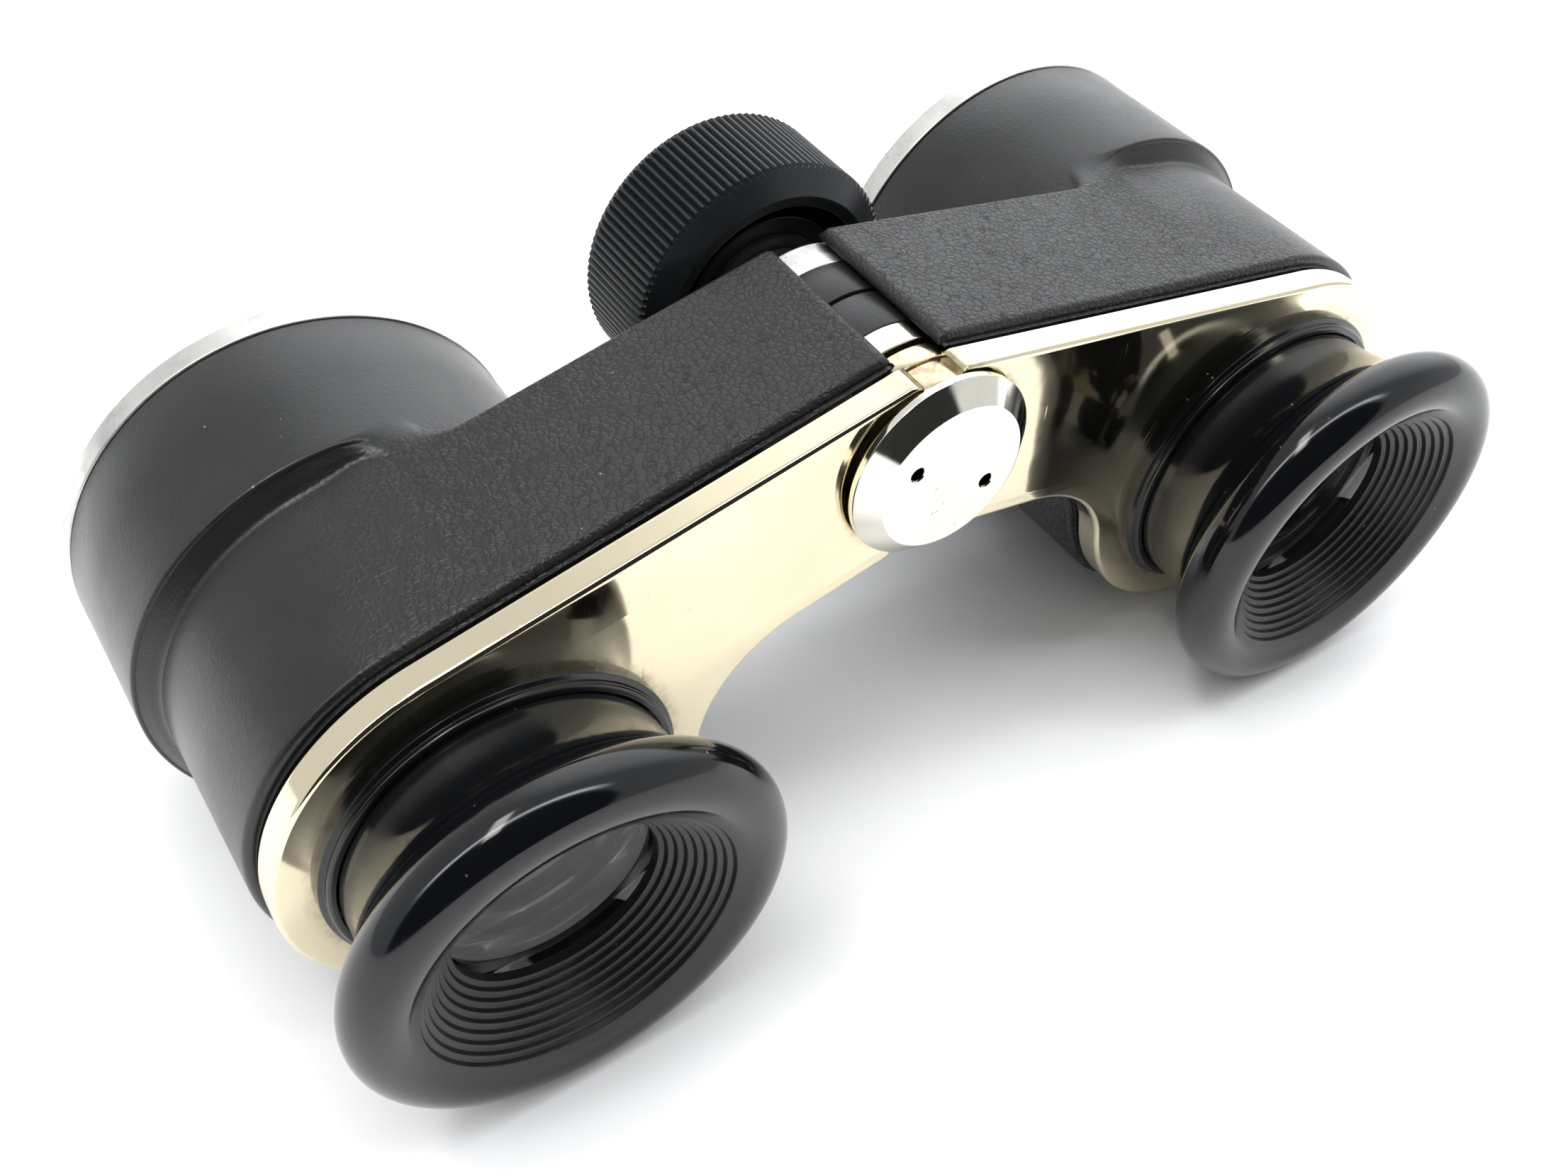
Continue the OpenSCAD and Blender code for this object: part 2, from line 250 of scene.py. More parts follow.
def mix(tree, factor, a, b):
    """A colour between a and b."""
    node = tree.nodes.new("ShaderNodeMix")
    node.data_type = "RGBA"
    for key, value in ((0, factor), (6, a), (7, b)):
        if isinstance(value, bpy.types.NodeSocket):
            tree.links.new(value, node.inputs[key])
        else:
            node.inputs[key].default_value = value
    return node.outputs[2]


def shader_group(name, inputs, outputs):
    """An empty node group with its named sockets, and its inner input and output nodes."""
    group = bpy.data.node_groups.new(name, "ShaderNodeTree")
    for label, value in inputs.items():
        socket = group.interface.new_socket(label, in_out="INPUT", socket_type="NodeSocketFloat")
        socket.default_value = value
    for label in outputs:
        group.interface.new_socket(label, in_out="OUTPUT", socket_type="NodeSocketFloat")
    return group, group.nodes.new("NodeGroupInput"), group.nodes.new("NodeGroupOutput")


def use(tree, group, **values):
    """A node that places a shared group, with its own values or sockets."""
    node = tree.nodes.new("ShaderNodeGroup")
    node.node_tree = group
    for key, value in values.items():
        socket = node.inputs[key.replace("_", " ")]
        if isinstance(value, bpy.types.NodeSocket):
            tree.links.new(value, socket)
        else:
            socket.default_value = value
    return node

# %% Dust, scratches, grime and pits
def object_point(tree):
    return tree.nodes.new("ShaderNodeTexCoord").outputs["Object"]


def build_dust():
    """Mask of tiny separate specks, and a few short threads of lint. Each is the inside of a few
    cells of a Voronoi pattern, and the threads' pattern is stretched along one direction."""
    tree, given, out = shader_group("Dust specks", {"Cells": 1700.0, "Share": 0.03, "Size": 0.14}, ["Mask"])
    masks = []
    for stretch, turn, scale, share in (((1, 1, 1), 0.0, 1.0, 1.0), ((1, 0.09, 1), 0.7, 0.45, 0.35)):
        laid = add(tree, "ShaderNodeMapping", [("Vector", object_point(tree))])
        laid.inputs["Rotation"].default_value = (0.4 * turn, 0, turn)
        laid.inputs["Scale"].default_value = stretch
        size = math(tree, "MULTIPLY", given.outputs["Cells"], scale)
        cells = add(tree, "ShaderNodeTexVoronoi", [("Vector", laid.outputs[0]), ("Scale", size)])
        reach = math(tree, "MULTIPLY", given.outputs["Size"], scale)
        near = math(tree, "LESS_THAN", cells.outputs["Distance"], reach)
        pick = add(tree, "ShaderNodeSeparateColor", [("Color", cells.outputs["Color"])])
        wanted = math(tree, "MULTIPLY", given.outputs["Share"], share)
        chosen = math(tree, "LESS_THAN", pick.outputs[0], wanted)
        masks.append(math(tree, "MULTIPLY", chosen, math(tree, "MULTIPLY", near, pick.outputs[1])))
    tree.links.new(math(tree, "MAXIMUM", *masks), out.inputs["Mask"])
    return tree


def build_scratches():
    """Mask of hairlines: a Voronoi edge pattern stretched strongly along one direction."""
    tree, given, out = shader_group("Hairlines", {"Scale": 260.0, "Width": 0.02, "Turn": 0.6}, ["Mask"])
    turn = add(tree, "ShaderNodeCombineXYZ", [("Y", given.outputs["Turn"])])
    stretch = add(tree, "ShaderNodeMapping", [("Vector", object_point(tree)), ("Rotation", turn.outputs[0])])
    stretch.inputs["Scale"].default_value = (1.0, 1.0, 0.06)
    bent = add(tree, "ShaderNodeTexNoise", [("Vector", stretch.outputs[0])], Scale=90.0, Detail=1.0)
    shift = add(tree, "ShaderNodeVectorMath", [(0, bent.outputs["Color"])], operation="SCALE")
    shift.inputs["Scale"].default_value = 0.012
    moved = add(tree, "ShaderNodeVectorMath", [(0, stretch.outputs[0]), (1, shift.outputs[0])])
    lines = add(tree, "ShaderNodeTexVoronoi",
                [("Vector", moved.outputs[0]), ("Scale", given.outputs["Scale"])], feature="DISTANCE_TO_EDGE")
    thin = ramp(tree, lines.outputs["Distance"], 0.0, given.outputs["Width"], 1.0, 0.0)
    patch = add(tree, "ShaderNodeTexNoise", [("Vector", object_point(tree))], Scale=420.0, Detail=2.0)
    seen = ramp(tree, patch.outputs["Fac"], 0.55, 0.7)
    tree.links.new(math(tree, "MULTIPLY", thin, seen), out.inputs["Mask"])
    return tree


def build_mottle():
    """Cloudy mask from two sizes of noise, for stains, handling marks and uneven sheen."""
    tree, given, out = shader_group("Mottle", {"Scale": 120.0, "From": 0.4, "To": 0.65}, ["Mask"])
    cloud = add(tree, "ShaderNodeTexNoise",
                [("Vector", object_point(tree)), ("Scale", given.outputs["Scale"])],
                Detail=6.0, Roughness=0.62)
    clouded = ramp(tree, cloud.outputs["Fac"], given.outputs["From"], given.outputs["To"])
    tree.links.new(clouded, out.inputs["Mask"])
    return tree


def build_pits():
    """Mask of tiny dark pits that cluster: small Voronoi dots seen only where a cloud is bright."""
    tree, given, out = shader_group("Pits", {"Cells": 2600.0, "Amount": 0.5}, ["Mask"])
    cells = add(tree, "ShaderNodeTexVoronoi",
                [("Vector", object_point(tree)), ("Scale", given.outputs["Cells"])])
    pick = add(tree, "ShaderNodeSeparateColor", [("Color", cells.outputs["Color"])])
    size = math(tree, "MULTIPLY", pick.outputs[2], 0.3)
    dot = math(tree, "LESS_THAN", cells.outputs["Distance"], size)
    cloud = add(tree, "ShaderNodeTexNoise", [("Vector", object_point(tree))], Scale=150.0, Detail=3.0)
    limit = math(tree, "SUBTRACT", 1.0, given.outputs["Amount"])
    where = ramp(tree, cloud.outputs["Fac"], limit, math(tree, "ADD", limit, 0.12))
    tree.links.new(math(tree, "MULTIPLY", dot, where), out.inputs["Mask"])
    return tree


DUST, HAIRLINES, MOTTLE, PITS = build_dust(), build_scratches(), build_mottle(), build_pits()
print("shared effects:", [group.name for group in (DUST, HAIRLINES, MOTTLE, PITS)])


def finish_of(name, **constants):
    """A material with a Principled shader whose unchanging values are set on its own sockets."""
    material = bpy.data.materials.new(name)
    material.use_nodes = True
    tree = material.node_tree
    shader = tree.nodes["Principled BSDF"]
    for key, value in constants.items():
        shader.inputs[key.replace("_", " ")].default_value = value
    return material, tree, shader


def bump(tree, shader, height, strength, distance, under=None):
    """A bump of this height that feeds the shader's normal, over another bump if one is given."""
    node = add(tree, "ShaderNodeBump", [("Height", height)], Strength=strength, Distance=distance)
    if under is not None:
        tree.links.new(under.outputs[0], node.inputs["Normal"])
    tree.links.new(node.outputs[0], shader.inputs["Normal"])
    return node

# %% [markdown]
# ## Black enamel, grained and smooth
#
# The cast bodies wear a baked black enamel. On the arms it has a leather grain: low rounded cells
# about half a millimetre across, between narrow creases. Round the telescope the grain
# dies out and the same enamel is nearly smooth, with a slight orange peel. A Voronoi pattern's
# distance to its cell edges gives the cells. The creases between them get painted shade: their
# base colour is darkened towards black. The body's own "grain" attribute says where they are.

# %% Enamel
def make_enamel():
    material, tree, shader = finish_of("grained_black_enamel", Metallic=0.0, Specular_IOR_Level=0.5)
    point = object_point(tree)
    grain = add(tree, "ShaderNodeAttribute", attribute_name="grain").outputs["Fac"]
    wobble = add(tree, "ShaderNodeTexNoise", [("Vector", point)], Scale=1100.0, Detail=2.0)
    shift = add(tree, "ShaderNodeVectorMath", [(0, wobble.outputs["Color"])], operation="SCALE")
    shift.inputs["Scale"].default_value = 0.0005
    moved = add(tree, "ShaderNodeVectorMath", [(0, point), (1, shift.outputs[0])])
    cells = add(tree, "ShaderNodeTexVoronoi", [("Vector", moved.outputs[0])], feature="DISTANCE_TO_EDGE",
                Scale=1900.0, Randomness=1.0)
    dome = ramp(tree, cells.outputs["Distance"], 0.0, 0.30)
    worn = add(tree, "ShaderNodeTexNoise", [("Vector", point)], Scale=700.0, Detail=2.0)
    depth = math(tree, "MULTIPLY", dome, ramp(tree, worn.outputs["Fac"], 0.28, 0.62, 0.25, 1.0))
    fade = math(tree, "ADD", math(tree, "MULTIPLY", grain, 0.85), 0.15)
    peel = add(tree, "ShaderNodeTexNoise", [("Vector", point)], Scale=2600.0, Detail=2.0)
    under = bump(tree, shader, peel.outputs["Fac"], 0.22, 0.00003)
    bump(tree, shader, math(tree, "MULTIPLY", depth, fade), 0.6, 0.00006, under)
    dust = use(tree, DUST, Cells=1700.0, Share=0.012, Size=0.15)
    cloud = use(tree, MOTTLE, Scale=90.0)
    black = mix(tree, cloud.outputs[0], (0.0075, 0.0078, 0.0080, 1), (0.0105, 0.0105, 0.0106, 1))
    # painted shade in the creases: their base colour is mixed nearly to black, and they are made a little
    # rougher
    shaded_crease = math(tree, "MULTIPLY", ramp(tree, cells.outputs["Distance"], 0.0, 0.10, 1.0, 0.0), grain)
    dark = mix(tree, math(tree, "MULTIPLY", shaded_crease, 0.9), black, (0.001, 0.001, 0.001, 1))
    dusty = mix(tree, math(tree, "MULTIPLY", dust.outputs[0], 0.6), dark, (0.35, 0.34, 0.32, 1))
    tree.links.new(dusty, shader.inputs["Base Color"])
    sheen = ramp(tree, cloud.outputs[0], 0.0, 1.0, 0.30, 0.36)
    matt = math(tree, "ADD", sheen, math(tree, "MULTIPLY", grain, 0.08))
    creased = math(tree, "ADD", matt, math(tree, "MULTIPLY", shaded_crease, 0.25))
    tree.links.new(creased, shader.inputs["Roughness"])
    return material


ENAMEL = make_enamel()

# %% [markdown]
# ## Polished nickel
#
# The eyepiece plates and the rear bushes are brass with polished nickel plate, so they are
# warmer than chrome. Age shows as brownish grey clouds, clustered pits and hairlines. Round the
# cap and the collars the plate gets painted shade where those parts sit on it, in the same
# brownish colour and broken into patches. A plate's face has no points inside, so an attribute
# couldn't say where that shade goes. The shader measures the distance to the cap's and the
# eyepiece's axis.

# %% Nickel and bright metal
def distance_to_axis(tree, centre):
    """Distance in metres from a line along Y through a point: the length of (x - cx, 0, z - cz)."""
    away = add(tree, "ShaderNodeVectorMath", [(0, object_point(tree))], operation="SUBTRACT")
    away.inputs[1].default_value = centre
    flat = add(tree, "ShaderNodeVectorMath", [(0, away.outputs[0])], operation="MULTIPLY")
    flat.inputs[1].default_value = (1, 0, 1)
    return add(tree, "ShaderNodeVectorMath", [(0, flat.outputs[0])], operation="LENGTH").outputs["Value"]


def make_nickel(name, colour, stain, roughness, dirty_rings=()):
    """Rings of painted shade on the plate round the cap and the collar: each is (centre, radius where the
    shade is full, radius where it has gone).
    """
    material, tree, shader = finish_of(name, Metallic=1.0)
    cloud = use(tree, MOTTLE, Scale=70.0, From=0.42, To=0.72)
    fine = use(tree, MOTTLE, Scale=900.0, From=0.35, To=0.75)
    pits = use(tree, PITS, Cells=2600.0, Amount=0.36)
    lines = use(tree, HAIRLINES, Scale=420.0, Width=0.03)
    mask = math(tree, "MULTIPLY", cloud.outputs[0], 0.10)
    # painted shade round the cap and the collar, broken into patches by the fine mottle
    for centre, full, gone in dirty_rings:
        dirt = ramp(tree, distance_to_axis(tree, centre), full, gone, 1.0, 0.0)
        patchy = math(tree, "MULTIPLY", dirt, ramp(tree, fine.outputs[0], 0.0, 1.0, 0.25, 0.75))
        mask = math(tree, "MAXIMUM", mask, patchy)
    # the mask holds both the random stains and the painted shade, and both take the same brownish colour
    base = mix(tree, mask, colour, stain)
    pitted = mix(tree, math(tree, "MULTIPLY", pits.outputs[0], 0.85), base, (0.12, 0.09, 0.06, 1))
    tree.links.new(pitted, shader.inputs["Base Color"])
    hazy = math(tree, "MULTIPLY", fine.outputs[0], 0.02)
    dull = math(tree, "ADD", math(tree, "MULTIPLY", mask, 0.25), hazy)
    marked = math(tree, "ADD", dull, math(tree, "MULTIPLY", lines.outputs[0], 0.18))
    tree.links.new(math(tree, "ADD", marked, roughness), shader.inputs["Roughness"])
    swell = add(tree, "ShaderNodeTexNoise", [("Vector", object_point(tree))], Scale=160.0, Detail=2.0)
    under = bump(tree, shader, swell.outputs["Fac"], 0.10, 0.0002)
    bump(tree, shader, math(tree, "MULTIPLY", lines.outputs[0], -1.0), 0.15, 0.00001, under)
    return material


# the second colour is used for the plates' stains and for their painted shade round the cap and the collars
CHAMPAGNE, STAIN_AND_SHADE = (0.87, 0.775, 0.56, 1), (0.30, 0.23, 0.14, 1)
NICKEL = {}
for half, side in SIDES.items():
    eye_axis = place((EYE_X, 0, -EYE_DROP), side)
    # rings of painted shade on the plate: round the cap on the hinge axis, and round the collar on the eye
    # axis
    rings = [(HINGE, 6.8 * MM, 7.7 * MM), (eye_axis, 12.2 * MM, 13.6 * MM)]
    NICKEL[half] = make_nickel(f"{half}_polished_nickel", CHAMPAGNE, STAIN_AND_SHADE, 0.05, rings)
BUSH_NICKEL = make_nickel("bush_nickel", (0.80, 0.75, 0.64, 1), (0.42, 0.36, 0.27, 1), 0.14)


def make_turned_metal(name, colour, stain, roughness, cloudiness, ring_scale):
    """Metal off the lathe: fine rings about the Y axis, from the distance to the piece's axis that
    its "radius" attribute holds in millimetres."""
    material, tree, shader = finish_of(name, Metallic=1.0, Anisotropic=0.4)
    radius = add(tree, "ShaderNodeAttribute", attribute_name="radius").outputs["Fac"]
    cloud = use(tree, MOTTLE, Scale=260.0, From=0.38, To=0.68)
    spots = use(tree, PITS, Cells=1900.0, Amount=0.5)
    base = mix(tree, math(tree, "MULTIPLY", cloud.outputs[0], cloudiness), colour, stain)
    spotted = mix(tree, math(tree, "MULTIPLY", spots.outputs[0], 0.6), base, stain)
    # painted shade: where this attribute is 1 (inside the cap's holes and on its hidden back) the colour goes
    # almost black
    dirt = add(tree, "ShaderNodeAttribute", attribute_name="dirt").outputs["Fac"]
    tree.links.new(mix(tree, dirt, spotted, (0.02, 0.018, 0.016, 1)), shader.inputs["Base Color"])
    dull = math(tree, "MULTIPLY", cloud.outputs[0], 0.12)
    tree.links.new(math(tree, "ADD", dull, roughness), shader.inputs["Roughness"])
    spot = add(tree, "ShaderNodeCombineXYZ", [("X", radius)])
    rings = add(tree, "ShaderNodeTexNoise", [("Vector", spot.outputs[0])], Scale=ring_scale, Detail=3.0)
    bump(tree, shader, rings.outputs["Fac"], 0.2, 0.00001)
    return material


CAP_METAL = make_turned_metal(
    "bright_turned_nickel", (0.90, 0.87, 0.77, 1), (0.45, 0.41, 0.33, 1),
    roughness=0.06, cloudiness=0.12, ring_scale=14.0)
ALUMINIUM = make_turned_metal(
    "satin_aluminium", (0.82, 0.81, 0.76, 1), (0.50, 0.49, 0.48, 1),
    roughness=0.32, cloudiness=0.7, ring_scale=9.0)

# %% [markdown]
# ## Moulded black and the small parts' finishes
#
# The eyecups are glossy moulded black, polished outside and left duller in the stepped cone, where
# a "satin" attribute marks the surface. The knob is a harder, matt black. Inside are blackened
# metal, steel, brass, felt and glass. Each has some variation, because even small parts that
# show only through a lens or with the focus wound out shouldn't look like flat paint. The glass
# lets nearly all light through to what it shades, as a thin lens does, so the tubes aren't dark.

# %% Black plastic, knob black and inner finishes
COLLAR_COLOUR, KNOB_COLOUR = (0.0045, 0.0045, 0.005, 1), (0.006, 0.0075, 0.009, 1)
CUP_COLOUR, CONE_COLOUR = (0.003, 0.0034, 0.0042, 1), (0.009, 0.0098, 0.0105, 1)


def make_moulded(name, shine, satin, dust_share, colour, dull_colour):
    """shine and colour are the polished surface's, satin and dull_colour the marked part's."""
    material, tree, shader = finish_of(name, Metallic=0.0, Specular_IOR_Level=0.5)
    dull = add(tree, "ShaderNodeAttribute", attribute_name="satin").outputs["Fac"]
    cloud = use(tree, MOTTLE, Scale=210.0, From=0.4, To=0.7)
    dust = use(tree, DUST, Cells=1700.0, Share=dust_share, Size=0.15)
    lines = use(tree, HAIRLINES, Scale=300.0, Width=0.025, Turn=1.1)
    soft = ramp(tree, dull, 0.0, 1.0, shine, satin)
    handled = math(tree, "ADD", soft, math(tree, "MULTIPLY", cloud.outputs[0], 0.05))
    marked = math(tree, "ADD", handled, math(tree, "MULTIPLY", lines.outputs[0], 0.10))
    powdered = math(tree, "MULTIPLY", dust.outputs[0], 0.4)
    tree.links.new(math(tree, "ADD", marked, powdered), shader.inputs["Roughness"])
    black = mix(tree, dull, colour, dull_colour)
    dusty = mix(tree, math(tree, "MULTIPLY", dust.outputs[0], 0.55), black, (0.32, 0.31, 0.28, 1))
    tree.links.new(dusty, shader.inputs["Base Color"])
    return material


CUP_BLACK = make_moulded("glossy_moulded_black", 0.07, 0.36, 0.015, CUP_COLOUR, CONE_COLOUR)
COLLAR_BLACK = make_moulded("collar_black", 0.16, 0.3, 0.05, COLLAR_COLOUR, CONE_COLOUR)
KNOB_BLACK = make_moulded("knob_black", 0.34, 0.34, 0.01, KNOB_COLOUR, KNOB_COLOUR)


def make_inner(name, colour, other, metallic, roughness, scale=300.0, grit_depth=0.00001, **constants):
    """A plain machined or dull finish: two tones in clouds, with roughness that follows them, and
    grit of this depth in metres."""
    material, tree, shader = finish_of(name, Metallic=metallic, **constants)
    cloud = use(tree, MOTTLE, Scale=scale)
    tree.links.new(mix(tree, cloud.outputs[0], colour, other), shader.inputs["Base Color"])
    uneven = ramp(tree, cloud.outputs[0], 0.0, 1.0, roughness, roughness + 0.1)
    tree.links.new(uneven, shader.inputs["Roughness"])
    grit = add(tree, "ShaderNodeTexNoise", [("Vector", object_point(tree))], Scale=4000.0, Detail=2.0)
    bump(tree, shader, grit.outputs["Fac"], 0.15, grit_depth)
    return material


BLACKENED = make_inner("blackened_metal", (0.012, 0.012, 0.012, 1), (0.02, 0.02, 0.02, 1), 0.0, 0.4,
                       grit_depth=0.0)
TUBE_GREY = make_inner("dull_grey_tube", (0.085, 0.086, 0.087, 1), (0.10, 0.10, 0.10, 1), 0.0, 0.42,
                       120.0, grit_depth=0.0)
STEEL = make_inner("turned_steel", (0.42, 0.42, 0.42, 1), (0.33, 0.32, 0.31, 1), 1.0, 0.25)
BRASS = make_inner("turned_brass", (0.72, 0.52, 0.24, 1), (0.55, 0.38, 0.17, 1), 1.0, 0.25)
FELT = make_inner("felt", (0.02, 0.019, 0.018, 1), (0.045, 0.042, 0.04, 1), 0.0, 0.9, 2500.0)


def make_glass(name, tint, smear_tint):
    material, tree, shader = finish_of(name, Metallic=0.0, Transmission_Weight=1.0, IOR=1.52, Roughness=0.0)
    smear = use(tree, MOTTLE, Scale=260.0, From=0.45, To=0.8)
    tree.links.new(mix(tree, smear.outputs[0], tint, smear_tint), shader.inputs["Base Color"])
    shadow = tree.nodes.new("ShaderNodeLightPath").outputs["Is Shadow Ray"]
    tree.links.new(math(tree, "SUBTRACT", 1.0, math(tree, "MULTIPLY", shadow, 0.92)), shader.inputs["Alpha"])
    return material


CLEAR_GLASS = make_glass("clear_glass", (1, 1, 1, 1), (0.97, 0.98, 0.98, 1))
COATED_GLASS = make_glass("coated_glass", (0.97, 0.97, 1, 1), (0.93, 0.94, 0.98, 1))


def paint(piece, side, name, value):
    """Writes an attribute: value(x, y, z) of every point of the piece, in the half frame in mm."""
    mesh = piece.data
    flat = np.empty(3 * len(mesh.vertices), np.float32)
    mesh.vertices.foreach_get("co", flat)
    x, y, z = unplace(flat.reshape(-1, 3), side).T
    layer = mesh.attributes.new(name, "FLOAT", "POINT")
    layer.data.foreach_set("value", np.broadcast_to(value(x, y, z), x.shape).astype(np.float32))


def smooth(low, high, value):
    """The smooth step 3t^2 - 2t^3 of t = (value - low) / (high - low), held to 0..1."""
    t = np.clip((value - low) / (high - low), 0, 1)
    return t * t * (3 - 2 * t)

# %% [markdown]
# ## The outline of one half
#
# Seen from the eye, each half is a level arm that sweeps into a round end. The outline is walked
# clockwise from where the barrel's circle comes up through the flat top: over the round end, up
# the concave sweep below the arm, along the underside, round the hollow that clears the hinge, and
# back along the flat top. Body and plate share it, the plate set in by half a millimetre.

# %% Outline
BODY_R, ARM_LOW, SWEEP_R, BARREL_R, HOLLOW_R = 15.5, 7.5, 10.0, 17.0, 6.75
EYE = np.array([EYE_X, -EYE_DROP])
TOP_STATIONS = np.array([12, 17, 20, 22, 23, 24, 25, 25.8, 26.5, 27.0, 27.4, 27.7, 27.9])


def half_outline(inner_x, inset):
    """Columns of the outline: points (x, z) and outward normals.

    With end radius e, the sweep's centre is (EYE_X - sqrt((e + 10)^2 - dz^2), low - 10), which
    makes it tangent to the underside and to the round end."""
    end_r, low = BODY_R - inset, -(ARM_LOW - inset)
    top = end_r - EYE_DROP
    dz = low - SWEEP_R + EYE_DROP
    sweep = np.array([EYE_X - np.sqrt((end_r + SWEEP_R) ** 2 - dz ** 2), low - SWEEP_R])
    meet = np.degrees(np.arctan2(EYE[1] - sweep[1], EYE[0] - sweep[0]))
    tip_x = EYE_X - np.sqrt(BARREL_R ** 2 - end_r ** 2) if inset == 0 else 28.0
    crown = np.stack([np.linspace(tip_x, EYE_X, 9)[:-1], np.full(8, top)], -1)
    round_end = arc(EYE, end_r, 90, meet - 180, 124)
    under = arc(sweep, SWEEP_R, meet, 90, 26)[1:]
    low_x = -low * np.tan(np.radians(28.7)) + 0.4
    hollow = arc((0, 0), HOLLOW_R, -54, 81, 40)
    foot = (3.57, -5.73) if inset == 0 else (3.5, -5.77)
    arm = rounded([(*under[-1], 0), (low_x, low, 0.7), (*foot, 0.25), *[(*p, 0) for p in hollow],
                   (inner_x, 6.73, 0.15), (inner_x, top, 0.7), (tip_x, top, 0)], 6)[1:-1]
    stations = np.stack([TOP_STATIONS, np.full(len(TOP_STATIONS), top)], -1)
    points = np.concatenate([crown, round_end, under, arm, stations])
    ahead, behind = np.roll(points, -1, 0) - points, points - np.roll(points, 1, 0)
    ahead /= np.linalg.norm(ahead, axis=1, keepdims=True)
    behind /= np.linalg.norm(behind, axis=1, keepdims=True)
    along = ahead + behind
    along /= np.linalg.norm(along, axis=1, keepdims=True)
    return points, np.stack([-along[:, 1], along[:, 0]], -1)


body_outline, body_normals = half_outline(0.5, 0.0)
plate_outline, plate_normals = half_outline(0.15, 0.5)
print("outline columns:", len(body_outline), len(plate_outline))

# %% [markdown]
# ## Cast bodies
#
# On the real object each half is one casting: the hinged arm, the telescope's round end, a small
# hollow step, and the larger barrel, all under the same enamel. Three cylinders and a box
# would meet in hard lines that the casting doesn't have. Here it is one closed surface: every
# column of the outline runs from the rear edge's rounding along the side, and then either over
# the front edge and down to the barrel, on the arm, or up the hollow step, on the round end. Both
# reach the barrel's circle, run to its front, and come back through the bore.

# %% Body shell
REAR_Y, ARM_FRONT, BARREL_REAR, BARREL_FRONT = 2.9, 16.6, 18.9, 31.9
MELT_Y0, MELT_Y1 = 15.8, 20.1
EDGE_STEPS = 10
LAND_Y, SEAL_R, GUIDE_R, LIGHT_R, CELL_R = 2.55, 13.42, 12.02, 13.5, 15.4
SEAL_SEAT, GUIDE_END, CELL_SEAT = 4.4, 17.0, 20.9


def quarter(steps):
    """Sine and cosine of angles from 0 to 90 degrees."""
    a = np.linspace(0, np.pi / 2, steps)
    return np.sin(a), np.cos(a)


